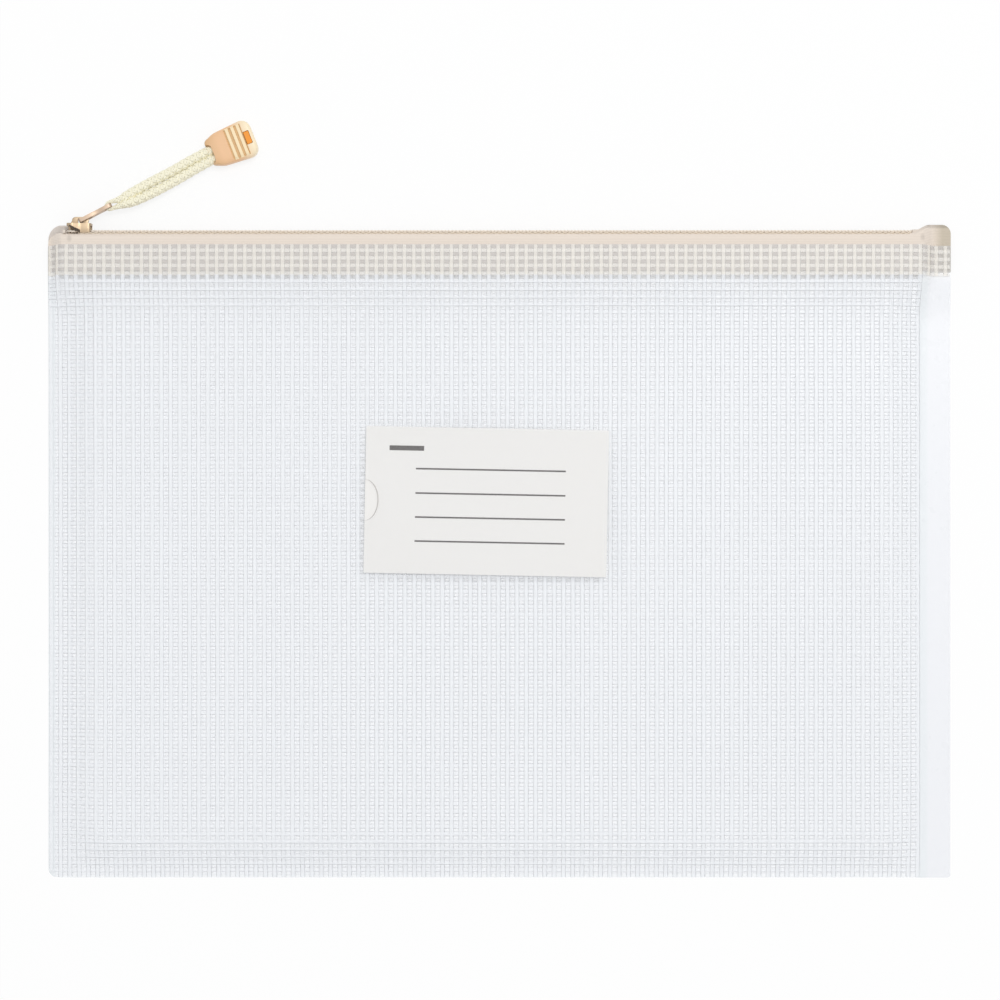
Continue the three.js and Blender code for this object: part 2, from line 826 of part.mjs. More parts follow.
const topStopX = sliderFrontX - 0.35 - topStopLength / 2;
for (const [name, side] of [['top_stop_front', 1], ['top_stop_back', -1]]) {
  const stop = piece(name, topStop(side), finish(0xbd9a6a, 0.35, 0.9));
  stop.position.set(topStopX, 0, 0);
  chain.add(stop);
}
const endClip = piece('bottom_stop', bottomStop(), finish(0xbd9a6a, 0.35, 0.9));
endClip.position.set(bottomStopX + bottomStopLength / 2, 0, 0);
chain.add(endClip);

const sliderGroup = new THREE.Group();
sliderGroup.position.set(pivotX, pivotY, 0);
chain.add(sliderGroup);
sliderGroup.add(piece('slider_body', slider(), finish(0xc9a26b, 0.25, 1)));
const pullMesh = piece('pull_tab', pull(), finish(0xd9b48f, 0.3, 1));
pullMesh.rotation.set(0, 0, pullAngle * degree);
sliderGroup.add(pullMesh);

fileBag.add(piece('pull_cord', cord(), finish(0xf0ead0, 0.95)));

const tagGroup = new THREE.Group();
tagGroup.position.set(
  tagX - (tagLength / 2) * Math.cos(tagAngle * degree),
  tagY - (tagLength / 2) * Math.sin(tagAngle * degree),
  tagFloorGap + tagThickness / 2,
);
tagGroup.rotation.set(0, 0, tagAngle * degree);
fileBag.add(tagGroup);
tagGroup.add(piece('tag_shell', tagBody(), finish(0xf4cb98, 0.4)));
tagGroup.add(piece('tag_insert', tagInsert(), finish(0xf0961e, 0.4)));

const labelGroup = new THREE.Group();
labelGroup.position.set(cardX, cardY, pouchTop);
labelGroup.rotation.set(0, 0, cardTurn * degree);
fileBag.add(labelGroup);
labelGroup.add(piece('card_pocket', pocket(), finish(0xf4f6f8, 0.15, 0, 0.35)));
labelGroup.add(piece('index_card', card(), finish(0xf0eeec, 0.8)));

export default fileBag;
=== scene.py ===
"""Mesh file bag: the looks of a flat zip pouch, laid out as a Blender add-on and run as a script."""
import math

import bmesh
import bpy
from bpy.props import FloatProperty, FloatVectorProperty, IntProperty, PointerProperty
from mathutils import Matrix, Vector


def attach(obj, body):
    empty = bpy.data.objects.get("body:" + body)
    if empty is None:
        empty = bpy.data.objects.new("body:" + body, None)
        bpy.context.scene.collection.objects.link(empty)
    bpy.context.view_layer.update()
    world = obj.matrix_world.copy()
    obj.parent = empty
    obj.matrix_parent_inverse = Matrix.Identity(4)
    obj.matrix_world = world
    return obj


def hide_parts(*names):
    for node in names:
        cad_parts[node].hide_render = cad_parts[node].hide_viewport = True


bl_info = {
    "name": "Mesh File Bag",
    "version": (1, 0, 0),
    "blender": (4, 5, 0),
    "location": "View3D > Sidebar > File Bag",
    "description": "Builds the visible pieces of a mesh file bag round its packed frame",
    "category": "Object",
}

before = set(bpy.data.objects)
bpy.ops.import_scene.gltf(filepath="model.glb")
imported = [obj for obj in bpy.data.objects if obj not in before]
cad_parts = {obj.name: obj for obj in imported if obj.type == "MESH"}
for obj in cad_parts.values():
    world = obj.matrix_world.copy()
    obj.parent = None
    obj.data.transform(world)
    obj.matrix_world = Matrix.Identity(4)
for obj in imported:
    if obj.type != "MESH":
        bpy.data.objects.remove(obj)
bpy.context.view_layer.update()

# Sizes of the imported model, in millimetres
MM = 0.001
BAG_LENGTH = 336.2
BAG_DEPTH = 240.8
LEFT = -BAG_LENGTH / 2
RIGHT = BAG_LENGTH / 2
FOLD_Y = BAG_DEPTH / 2
BOTTOM_Y = -BAG_DEPTH / 2
SHEET_THICKNESS = 0.4
TAPE_EDGE_Y = 105.3
BOTTOM_LEFT_RADIUS = 3.5
BOTTOM_RIGHT_RADIUS = 1.0
LEFT_WELD = 6.0
RIGHT_WELD = 10.0
BOTTOM_WELD = 2.4
SIDE_SLOPE = 14.0
BOTTOM_SLOPE = 14.0
POUCH_TOP = 6.0
HEADER_RISE = 16.0
HEADER_TOP = 8.8
SEAM_STACK = 1.95
CHAIN_HEIGHT = 4.4
TAPE_THICKNESS = 0.5
TAPE_OUTER = 3.95
TAPE_SEAM_OUTER = 1.5 - CHAIN_HEIGHT
TAPE_RADIUS = 2.2
TAPE_UPRIGHT = 1.0
COIL_LOW_Y = 120.5
COIL_HIGH_Y = 121.8
COIL_OUTER = 2.05
TOOTH_REACH = 0.65
COIL_SPREAD = 1.15
COIL_SPREAD_RUN = 3.2
COIL_START_X = -160.6
COIL_END_X = 154.6
SPLIT_X = -156.0
CARD_X = -4.9
CARD_Y = 19.6
CARD_TURN = math.radians(-1.1)
CARD_LENGTH = 90.0
CARD_WIDTH = 54.0
CARD_TOP = 6.55
CARD_BASE = 6.2

# Places of the drawn pieces, in millimetres
LEFT_STAND_START = LEFT + 0.7
LEFT_STAND_RUN = 5.4
RIGHT_STAND_END = RIGHT - 6.1
RIGHT_STAND_RUN = 6.0
SAG = 0.48
SAG_START_Y = TAPE_EDGE_Y - 6
SAG_RUN = 22
FILM_THICKNESS = 0.12
FILM_EDGE_Y = 115.05
CORNER_REACH = 8
ZIP_DROP = 1.2
COIL_DROP = 1.1
RUN_Y = FOLD_Y - ZIP_DROP
SEAM_UPRIGHT = 1.6
BACK_STAND_START = LEFT + 8.2
BACK_STAND_RUN = 3.6
FRONT_CORNER_END = LEFT + 5.9
RIGHT_CORNER_RADIUS = 3.4
RIGHT_TAPE_LIFT = 1.0
RIGHT_RUN_LIFT = 2.6
RIGHT_LIFT_RUN = 7
RIGHT_RISE = 3.65
RIGHT_RISE_START = RIGHT - 17
RIGHT_RISE_RUN = 9.5
RISE_TOP_Y = RUN_Y + 0.05

# The yarns of the two sheets, in millimetres
FIRST_WARP = -167.15
WARPS = 94
HEADER_WARPS = 97
WARP_LIFT = -0.03
FIRST_WEFT = 112.8
WEFTS = 79
HEADER_WEFTS = 4
WEFT_LIFT = -0.1
BACK_WARP_SHIFT = 0.4
BACK_WEFT_DROP = 1.2
BACK_WEFT_STRETCH = 0.03

# Where the looks of the film and the tape change, in millimetres
RIGHT_WELD_EDGE = (154.6, 156.0)
RIGHT_RIM_EDGE = (158.8, 160.0)
LEFT_WELD_EDGE = (-165.0, -166.0)
HEADER_EDGE = (102.0, 106.0)
# Painted shade on the tape where the film lies over it
TAPE_SHADE_UNDER_FILM = (114.8, 115.3)
# Painted shade on the tape's right end, where it folds flat into the seam
END_FOLD_SHADE = (161.0, 165.0)
# Painted shade along the top edge of the tape's rise at its right end
RISE_EDGE_SHADE = (0.9, 1.4)
# Painted shade of two small dimples in the tape, which are not modelled
DIMPLE_SHADES = ((-159.2, 117.2, 8.4), (156.7, 117.8, 7.5))
DIMPLE_SHADE_EDGE = (0.4, 1.2)
# Painted shade on the coils' left end, inside the slider's mouth
COIL_SHADE = (-160.0, -157.5)


# Numbers
def smooth_step(value):
    t = min(max(value, 0.0), 1.0)
    return t * t * (3 - 2 * t)


def spaced(start, end, step):
    count = max(1, round(abs(end - start) / step))
    return [start + (end - start) * i / count for i in range(count + 1)]


def rounding(gap, radius):
    """How far a rounded edge stands back, gap away from the end that it turns into."""
    if gap >= radius:
        return 0.0
    return radius - math.sqrt(max(radius**2 - (radius - gap) ** 2, 0.0))


def header_stand(x):
    """How far the zip's header stands up at x: 0 in the side seams, 1 where the slider runs."""
    left = (x - LEFT_STAND_START) / LEFT_STAND_RUN
    return smooth_step(min(left, (RIGHT_STAND_END - x) / RIGHT_STAND_RUN))


def row_spread(x):
    """How far the slider's post pushes a coil row out at x."""
    return COIL_SPREAD * smooth_step((SPLIT_X - x) / COIL_SPREAD_RUN)


def pouch_shape(x, y):
    """How far the pouch stands open at a place, from 0 at its welds to 1."""
    sides = min((x - LEFT - LEFT_WELD) / SIDE_SLOPE, (RIGHT - RIGHT_WELD - x) / SIDE_SLOPE)
    return smooth_step(sides) * smooth_step((y - BOTTOM_Y - BOTTOM_WELD) / BOTTOM_SLOPE)


def front_height(x, y):
    """The middle of the front sheet's thickness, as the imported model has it."""
    body = SHEET_THICKNESS + (POUCH_TOP - 2 * SHEET_THICKNESS) * pouch_shape(x, y)
    seam = SEAM_STACK - SHEET_THICKNESS
    header = seam + (HEADER_TOP - SHEET_THICKNESS - seam) * header_stand(x)
    blend = smooth_step((y - TAPE_EDGE_Y + 1 + HEADER_RISE) / HEADER_RISE)
    return body + (header - body) * blend + SHEET_THICKNESS / 2


def front_sag(x, y):
    """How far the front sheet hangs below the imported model, in soft shallow waves."""
    waves = (
        math.sin(x / 41 + y / 67 + 0.6)
        + math.sin(x / 73 - y / 38 + 2.1)
        + 0.7 * math.sin(x / 27 + y / 49 + 4.0)
    )
    open_body = pouch_shape(x, y) * smooth_step((SAG_START_Y - y) / SAG_RUN)
    return open_body * SAG * (1 + waves / 2.7)


def sheet_front(x, y):
    return front_height(x, y) - front_sag(x, y)


def sheet_back(x, y):
    return SHEET_THICKNESS / 2


def sheet_corners(x, y):
    """Draws the stations of a sheet in to its round lower corners."""
    low = y - BOTTOM_Y
    for edge, way, radius in ((LEFT, 1, BOTTOM_LEFT_RADIUS), (RIGHT, -1, BOTTOM_RIGHT_RADIUS)):
        gap = (x - edge) * way
        if low < radius and gap < CORNER_REACH:
            inset = rounding(low, radius)
            x = edge + way * (inset + gap * (1 - inset / CORNER_REACH))
    return x, y


# Meshes
def new_object(name, data):
    piece = bpy.data.objects.new(name, data)
    bpy.context.scene.collection.objects.link(piece)
    return piece


def metres(points):
    return [tuple(c * MM for c in p) for p in points]


def mesh_piece(name, points, faces, material, uvs=None, smooth=True):
    """A mesh object from points in millimetres. uvs holds one pair for each point."""
    mesh = bpy.data.meshes.new(name)
    mesh.from_pydata(metres(points), [], faces)
    if uvs is not None:
        layer = mesh.uv_layers.new(name="UVMap")
        for loop in mesh.loops:
            layer.data[loop.index].uv = uvs[loop.vertex_index]
    if smooth:
        mesh.shade_smooth()
    mesh.materials.append(material)
    return new_object(name, mesh)


def line_piece(name, points):
    """A bare line through points in metres, which a geometry tree follows."""
    mesh = bpy.data.meshes.new(name)
    edges = [(i, i + 1) for i in range(len(points) - 1)]
    mesh.from_pydata(points, edges, [])
    return new_object(name, mesh)


def settle(piece):
    """Turns a piece's live modifiers into plain mesh."""
    graph = bpy.context.evaluated_depsgraph_get()
    mesh = bpy.data.meshes.new_from_object(piece.evaluated_get(graph), depsgraph=graph)
    mesh.name = piece.name
    piece.modifiers.clear()
    piece.data = mesh
    return piece


def smooth_by_angle(piece, degrees):
    piece.data.shade_smooth()
    piece.data.set_sharp_from_angle(angle=math.radians(degrees))
    return piece


def turn_outwards(piece):
    """Makes every face of a closed piece point outwards."""
    shape = bmesh.new()
    shape.from_mesh(piece.data)
    bmesh.ops.recalc_face_normals(shape, faces=shape.faces)
    shape.to_mesh(piece.data)
    shape.free()
    return piece


def round_edges(piece, width, segments):
    """Bevels a piece's sharp edges by a width in millimetres."""
    bevel = piece.modifiers.new("Rounded edges", "BEVEL")
    bevel.width = width * MM
    bevel.segments = segments
    bevel.limit_method = "ANGLE"
    bevel.angle_limit = math.radians(30)
    return settle(piece)


def bevelled_copy(node, name, material, width, segments=3, place=None):
    """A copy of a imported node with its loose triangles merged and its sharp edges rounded.

    place takes a point in millimetres and gives where the copy has it.
    """
    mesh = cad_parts[node].data.copy()
    mesh.name = name
    if place:
        for vertex in mesh.vertices:
            vertex.co = Vector(place(*(vertex.co / MM))) * MM
    shape = bmesh.new()
    shape.from_mesh(mesh)
    bmesh.ops.remove_doubles(shape, verts=shape.verts, dist=2e-6)
    bmesh.ops.dissolve_limit(
        shape, angle_limit=math.radians(1), verts=shape.verts, edges=shape.edges
    )
    shape.to_mesh(mesh)
    shape.free()
    mesh.materials.clear()
    mesh.materials.append(material)
    return smooth_by_angle(round_edges(new_object(name, mesh), width, segments), 40)


def shell(name, xs, ys, height, material):
    """A closed thin film over a grid of stations, in millimetres, with height at its middle."""
    points = []
    for offset in (-FILM_THICKNESS / 2, FILM_THICKNESS / 2):
        for y in ys:
            for x in xs:
                px, py = sheet_corners(x, y)
                points.append((px, py, height(px, py) + offset))
    wide = len(xs)
    layer = wide * len(ys)
    last = layer - wide
    faces = []
    for row in range(0, last, wide):
        for a in range(row, row + wide - 1):
            faces.append((a, a + wide, a + wide + 1, a + 1))
            faces.append((a + layer, a + layer + 1, a + layer + wide + 1, a + layer + wide))
    rim = [*range(wide - 1), *range(wide - 1, last + wide - 1, wide)]
    rim += [*range(last + wide - 1, last, -1), *range(last, 0, -wide)]
    for a, b in zip(rim, rim[1:] + rim[:1]):
        faces.append((a, b, b + layer, a + layer))
    return smooth_by_angle(mesh_piece(name, points, faces, material), 50)


def ring_quads(rings, count):
    """The faces between closed rings of count points each."""
    faces = []
    for start in range(0, (rings - 1) * count, count):
        for i in range(count):
            a, b = start + i, start + (i + 1) % count
            faces.append((a, b, b + count, a + count))
    return faces


def prism(outline, low, high):
    """Points and faces of an upright block over a closed outline of x, y pairs."""
    count = len(outline)
    points = [(x, y, z) for z in (low, high) for x, y in outline]
    faces = [tuple(range(count - 1, -1, -1)), tuple(range(count, 2 * count))]
    return points, faces + ring_quads(2, count)


def shifted(outline, along, across):
    return [(x + along, y + across) for x, y in outline]


def turned(points, angle, origin):
    """Turns points by an angle and sets them down with their own zero at the origin."""
    c, s = math.cos(angle), math.sin(angle)
    ox, oy, oz = origin
    return [(ox + x * c - y * s, oy + x * s + y * c, oz + z) for x, y, z in points]


def block_piece(name, blocks, material, place=list):
    """One piece out of blocks, each of them points and faces, set down by place."""
    points, faces = [], []
    for block_points, block_faces in blocks:
        base = len(points)
        points += block_points
        faces += [tuple(i + base for i in face) for face in block_faces]
    return mesh_piece(name, place(points), faces, material, smooth=False)


def rounded_corners(length, width, radius, steps=5):
    """A closed outline of a rectangle with round corners, about its centre."""
    outline = []
    for turn, (right, up) in enumerate(((1, 1), (-1, 1), (-1, -1), (1, -1))):
        for i in range(steps + 1):
            angle = math.radians(90 * (turn + i / steps))
            x = right * (length / 2 - radius) + radius * math.cos(angle)
            outline.append((x, up * (width / 2 - radius) + radius * math.sin(angle)))
    return outline


# Node trees
def put(tree, socket, value):
    """Links an input to a socket, or sets it to a plain value."""
    if isinstance(value, bpy.types.NodeSocket):
        tree.links.new(value, socket)
    else:
        socket.default_value = value


def add_node(tree, kind, values=None, **settings):
    """A node with its settings, and with its inputs set to plain values or linked to sockets."""
    node = tree.nodes.new(kind)
    for key, value in settings.items():
        setattr(node, key, value)
    for key, value in (values or {}).items():
        put(tree, node.inputs[key], value)
    return node


def made(tree, kind, values=None, **settings):
    """The first output of a new node."""
    return add_node(tree, kind, values, **settings).outputs[0]


def math_node(tree, operation, *values, clamp=False):
    values = dict(enumerate(values))
    return made(tree, "ShaderNodeMath", values, operation=operation, use_clamp=clamp)


def vector_node(tree, operation, *values):
    node = add_node(tree, "ShaderNodeVectorMath", operation=operation)
    for index, value in enumerate(values):
        put(tree, node.inputs["Scale" if operation == "SCALE" and index else index], value)
    return node.outputs["Value" if operation in {"DOT_PRODUCT", "LENGTH"} else "Vector"]


def wave(tree, operation, turns):
    """The sine or cosine of a number of whole turns."""
    return math_node(tree, operation, math_node(tree, "MULTIPLY", turns, 2 * math.pi))


def remap(tree, value, low, high, to_low, to_high, interpolation="LINEAR"):
    ends = {"From Min": low, "From Max": high, "To Min": to_low, "To Max": to_high}
    values = {"Value": value, **ends}
    return made(tree, "ShaderNodeMapRange", values, interpolation_type=interpolation)


def between(tree, place, edge, before, after):
    """A value that changes along a place, from one millimetre mark of an edge to the other."""
    return remap(tree, place, edge[0] * MM, edge[1] * MM, before, after)


def combined(tree, x=0.0, y=0.0, z=0.0):
    return made(tree, "ShaderNodeCombineXYZ", {0: x, 1: y, 2: z})


def parted(tree, vector):
    return tuple(add_node(tree, "ShaderNodeSeparateXYZ", {0: vector}).outputs)


def mixed(tree, factor, first, second):
    """A colour between two others, each of them a socket or plain red, green and blue."""
    node = add_node(tree, "ShaderNodeMix", {"Factor": factor}, data_type="RGBA")
    for socket, color in ((node.inputs[6], first), (node.inputs[7], second)):
        linked = isinstance(color, bpy.types.NodeSocket)
        put(tree, socket, color if linked else (*color, 1))
    return node.outputs[2]


def new_tree(name, kind, inputs, outputs):
    """A node group. inputs gives each name a default or a socket type, outputs a socket type."""
    kinds = {bool: "NodeSocketBool", int: "NodeSocketInt", float: "NodeSocketFloat"}
    tree = bpy.data.node_groups.new(name, kind)
    for label, value in inputs.items():
        socket_type = kinds.get(type(value), value)
        socket = tree.interface.new_socket(label, in_out="INPUT", socket_type=socket_type)
        if type(value) in kinds:
            socket.default_value = value
    for label, socket_type in outputs.items():
        tree.interface.new_socket(label, in_out="OUTPUT", socket_type=socket_type)
    return tree, tree.nodes.new("NodeGroupInput").outputs, tree.nodes.new("NodeGroupOutput")


def geometry_tree(name, inputs):
    """A geometry tree with its own inputs between a geometry and a material."""
    inputs = {"Geometry": "NodeSocketGeometry", **inputs, "Material": "NodeSocketMaterial"}
    return new_tree(name, "GeometryNodeTree", inputs, {"Geometry": "NodeSocketGeometry"})


def grown(piece, tree, settings):
    """Runs a geometry tree on a piece and leaves its result as the piece's plain mesh."""
    modifier = piece.modifiers.new(tree.name, "NODES")
    modifier.node_group = tree
    inputs = [item for item in tree.interface.items_tree if item.in_out == "INPUT"]
    ids = {item.name: item.identifier for item in inputs}
    for label, value in settings.items():
        modifier[ids[label]] = value
    return settle(piece)


# Shader groups
def grain_group():
    """Fine uneven grain: a mask from 0 to 1 and a height, on object coordinates."""
    if "Fine grain" in bpy.data.node_groups:
        return bpy.data.node_groups["Fine grain"]
    tree, s, sink = new_tree(
        "Fine grain",
        "ShaderNodeTree",
        {"Vector": "NodeSocketVector", "Scale": 800.0, "Detail": 3.0},
        {"Mask": "NodeSocketFloat", "Height": "NodeSocketFloat"},
    )
    noise = "ShaderNodeTexNoise"
    fine_look = {"Vector": s["Vector"], "Scale": s["Scale"], "Detail": s["Detail"]}
    fine = made(tree, noise, fine_look)
    coarse_scale = math_node(tree, "MULTIPLY", s["Scale"], 0.07)
    coarse = made(tree, noise, {"Vector": s["Vector"], "Scale": coarse_scale, "Detail": 2.0})
    half = math_node(tree, "MULTIPLY", fine, 0.5)
    mask = math_node(tree, "MULTIPLY_ADD", coarse, 0.5, half, clamp=True)
    tree.links.new(mask, sink.inputs["Mask"])
    tree.links.new(fine, sink.inputs["Height"])
    return tree


def weave_group():
    """A plain weave on a surface's own u and v, in metres: a height and a mask of its gaps."""
    if "Woven tape" in bpy.data.node_groups:
        return bpy.data.node_groups["Woven tape"]
    tree, s, sink = new_tree(
        "Woven tape",
        "ShaderNodeTree",
        {"Vector": "NodeSocketVector", "Warp Pitch": 0.0006, "Weft Pitch": 0.0004},
        {"Height": "NodeSocketFloat", "Gaps": "NodeSocketFloat"},
    )
    u, v, _ = parted(tree, s["Vector"])
    u = math_node(tree, "DIVIDE", u, s["Weft Pitch"])
    v = math_node(tree, "DIVIDE", v, s["Warp Pitch"])
    slant = math_node(tree, "MULTIPLY_ADD", math_node(tree, "FLOOR", v), 0.5, u)
    knot = math_node(tree, "MULTIPLY_ADD", wave(tree, "SINE", slant), 0.5, 0.5)
    rib = math_node(tree, "SINE", math_node(tree, "MULTIPLY", v, math.pi))
    rib = math_node(tree, "ABSOLUTE", rib)
    height = math_node(tree, "MULTIPLY", rib, math_node(tree, "MULTIPLY_ADD", knot, 0.6, 0.4))
    gaps = math_node(tree, "SUBTRACT", 1.0, math_node(tree, "POWER", height, 0.5), clamp=True)
    tree.links.new(height, sink.inputs["Height"])
    tree.links.new(gaps, sink.inputs["Gaps"])
    return tree


# Materials
def linear(color):
    """A display colour as the shaders take it."""
    return tuple(c / 12.92 if c <= 0.04045 else ((c + 0.055) / 1.055) ** 2.4 for c in color[:3])


def scaled(color, factor):
    return tuple(min(c * factor, 1.0) for c in color)


def new_material(name):
    """A material with only its principled shader, its tree and its texture coordinates."""
    material = bpy.data.materials.new(name)
    material.use_nodes = True
    tree = material.node_tree
    tree.nodes.clear()
    add_node(tree, "ShaderNodeOutputMaterial", {0: made(tree, "ShaderNodeBsdfPrincipled")})
    return material, tree, tree.nodes.new("ShaderNodeTexCoord").outputs


def set_shader(material, values):
    """Sets inputs of a material's shader to plain values, or links them to sockets."""
    tree = material.node_tree
    for label, value in values.items():
        put(tree, tree.nodes["Principled BSDF"].inputs[label], value)
    return material


def grain_at(tree, place, scale):
    values = {"Vector": place, "Scale": scale}
    return add_node(tree, "ShaderNodeGroup", values, node_tree=grain_group()).outputs


def bump(tree, height, strength, distance):
    values = {"Strength": strength, "Distance": distance, "Height": height}
    return made(tree, "ShaderNodeBump", values)


def plain_plastic(
    name, color, roughness, variation=0.03, grain_scale=900.0, relief=0.15, shade=None
):
    """Moulded plastic or other plain stuff, with faint grain in colour, gloss and surface.

    shade takes the tree, the colour and the place on the piece, and gives the colour there.
    """
    material, tree, coords = new_material(name)
    grain = grain_at(tree, coords["Object"], grain_scale)
    base = linear(color)
    surface = mixed(tree, grain["Mask"], scaled(base, 1 - variation), scaled(base, 1 + variation))
    if shade:
        surface = shade(tree, surface, coords["Object"])
    gloss = remap(tree, grain["Mask"], 0.3, 0.7, roughness * 0.85, roughness * 1.15)
    relief = bump(tree, grain["Height"], relief, 0.00004)
    return set_shader(material, {"Base Color": surface, "Roughness": gloss, "Normal": relief})


def metal(name, color, roughness):
    """Plated metal with a little wear in its gloss and colour."""
    plated = plain_plastic(name, color, roughness, 0.08, 1500.0, 0.08)
    return set_shader(plated, {"Metallic": 1.0})


def film_material(name, color, opacity):
    """Satin film under the yarns: clear in the body, whiter and denser where it is welded."""
    material, tree, coords = new_material(name)
    x, y, _ = parted(tree, coords["Object"])
    right_weld = between(tree, x, RIGHT_WELD_EDGE, 0.0, 1.0)
    right_rim = between(tree, x, RIGHT_RIM_EDGE, 0.0, 1.0)
    left_weld = between(tree, x, LEFT_WELD_EDGE, 0.0, 1.0)
    below_header = between(tree, y, HEADER_EDGE, 1.0, 0.0)
    weld = math_node(tree, "MAXIMUM", right_weld, left_weld)
    weld = math_node(tree, "MULTIPLY", weld, below_header, clamp=True)
    mask = grain_at(tree, coords["Object"], 260.0)["Mask"]
    base = linear(color)
    cloudy = mixed(tree, mask, scaled(base, 0.985), scaled(base, 1.01))
    welded = mixed(tree, right_rim, linear((0.925, 0.94, 0.952)), linear((0.945, 0.95, 0.965)))
    return set_shader(
        material,
        {
            "Base Color": mixed(tree, weld, cloudy, welded),
            "Alpha": math_node(tree, "MULTIPLY_ADD", weld, 0.32, opacity),
            "Roughness": remap(tree, mask, 0.3, 0.7, 0.24, 0.36),
            "Normal": bump(tree, mask, 0.2, 0.0001),
        },
    )


def yarn_material(name, color, stretch, opacity=1.0):
    """Bright filament yarn, with fine streaks along it."""
    material, tree, coords = new_material(name)
    drawn_out = {"Vector": coords["Object"], "Scale": stretch}
    grain = grain_at(tree, made(tree, "ShaderNodeMapping", drawn_out), 4000.0)
    base = linear(color)
    return set_shader(
        material,
        {
            "Base Color": mixed(tree, grain["Mask"], scaled(base, 0.95), scaled(base, 1.03)),
            "Alpha": opacity,
            "Roughness": 0.42,
            "Normal": bump(tree, grain["Height"], 0.2, 0.00004),
        },
    )


def tape_material(name, color):
    """Woven polyester tape, with painted shade at its folded right end, under the film, along the top
    of its rise and in two small dimples.
    """
    material, tree, coords = new_material(name)
    place = coords["Object"]
    x, y, _ = parted(tree, place)
    cloth = {"Vector": coords["UV"]}
    weave = add_node(tree, "ShaderNodeGroup", cloth, node_tree=weave_group()).outputs
    base = linear(color)
    shade = mixed(tree, weave["Gaps"], scaled(base, 1.04), scaled(base, 0.8))
    cloudy = remap(tree, grain_at(tree, place, 700.0)["Mask"], 0.35, 0.65, 0.0, 0.12)
    shade = mixed(tree, cloudy, shade, scaled(base, 0.85))
    # Painted shade: the tape darker and browner at its folded right end
    end_fold_shade = (*scaled(base, 0.66)[:2], base[2] * 0.6)
    shade = mixed(tree, between(tree, x, END_FOLD_SHADE, 0.0, 0.9), shade, end_fold_shade)
    # Painted shade: the tape darker under the film, where the mesh shades it
    shade = vector_node(tree, "SCALE", shade, between(tree, y, TAPE_SHADE_UNDER_FILM, 0.62, 1.0))
    # Painted shade: darker along the top edge where the tape rises at its right end
    rise_end = RIGHT_RISE_START + RIGHT_RISE_RUN
    rise = remap(tree, x, RIGHT_RISE_START * MM, rise_end * MM, 0.0, 1.0, "SMOOTHSTEP")
    top = math_node(tree, "MULTIPLY_ADD", rise, RIGHT_RISE * MM, RISE_TOP_Y * MM)
    edge = between(tree, math_node(tree, "SUBTRACT", top, y), RISE_EDGE_SHADE, 0.24, 0.0)
    edge = math_node(tree, "MULTIPLY", edge, rise)
    shade = vector_node(tree, "SCALE", shade, math_node(tree, "SUBTRACT", 1.0, edge))
    # Painted shade: two dark spots where the tape has small dimples
    for spot in DIMPLE_SHADES:
        gap = vector_node(tree, "SUBTRACT", place, tuple(c * MM for c in spot))
        gap = vector_node(tree, "LENGTH", vector_node(tree, "MULTIPLY", gap, (1.0, 0.75, 0.0)))
        shade = mixed(tree, between(tree, gap, DIMPLE_SHADE_EDGE, 0.35, 0.0), shade, scaled(base, 0.45))
    return set_shader(
        material,
        {
            "Base Color": shade,
            "Roughness": 0.85,
            "Sheen Weight": 0.15,
            "Sheen Roughness": 0.5,
            "Normal": bump(tree, weave["Height"], 0.6, 0.00012),
        },
    )


# Parts of geometry trees
def moved(tree, geometry, **where):
    return made(tree, "GeometryNodeSetPosition", {"Geometry": geometry, **where})


def followed(tree, mesh, step):
    """The curve along a mesh line, with points a step apart."""
    curve = made(tree, "GeometryNodeMeshToCurve", {"Mesh": mesh})
    values = {"Curve": curve, "Length": step}
    return made(tree, "GeometryNodeResampleCurve", values, mode="LENGTH")


def length_along(tree):
    return tree.nodes.new("GeometryNodeSplineParameter").outputs["Length"]


def circle(tree, sides, radius):
    values = {"Resolution": sides, "Radius": radius}
    return made(tree, "GeometryNodeCurvePrimitiveCircle", values)


def oval(tree, sides, width, height):
    half_width = math_node(tree, "MULTIPLY", width, 0.5)
    half_height = math_node(tree, "MULTIPLY", height, 0.5)
    size = combined(tree, half_width, half_height, 1.0)
    values = {"Geometry": circle(tree, sides, 1.0), "Scale": size}
    return made(tree, "GeometryNodeTransform", values)


def swept(tree, curve, profile, **more):
    values = {"Curve": curve, "Profile Curve": profile, "Fill Caps": True, **more}
    return made(tree, "GeometryNodeCurveToMesh", values)


def joined(tree, *parts):
    node = tree.nodes.new("GeometryNodeJoinGeometry")
    for part in parts:
        tree.links.new(part, node.inputs[0])
    return node.outputs[0]


def marked(tree, geometry, label, kind, value, domain="POINT"):
    """Keeps a value on a geometry under a name."""
    values = {"Geometry": geometry, "Name": label, "Value": value}
    return made(tree, "GeometryNodeStoreNamedAttribute", values, data_type=kind, domain=domain)


def mark(tree, label, kind):
    return made(tree, "GeometryNodeInputNamedAttribute", {"Name": label}, data_type=kind)


def finish_tree(tree, sink, geometry, *coats):
    """Ends a tree smooth and realized, with each coat a material and what it covers."""
    geometry = made(tree, "GeometryNodeSetShadeSmooth", {"Geometry": geometry})
    geometry = made(tree, "GeometryNodeRealizeInstances", {0: geometry})
    for material, covered in coats:
        values = {"Geometry": geometry, "Selection": covered, "Material": material}
        geometry = made(tree, "GeometryNodeSetMaterial", values)
    tree.links.new(geometry, sink.inputs[0])
    return tree


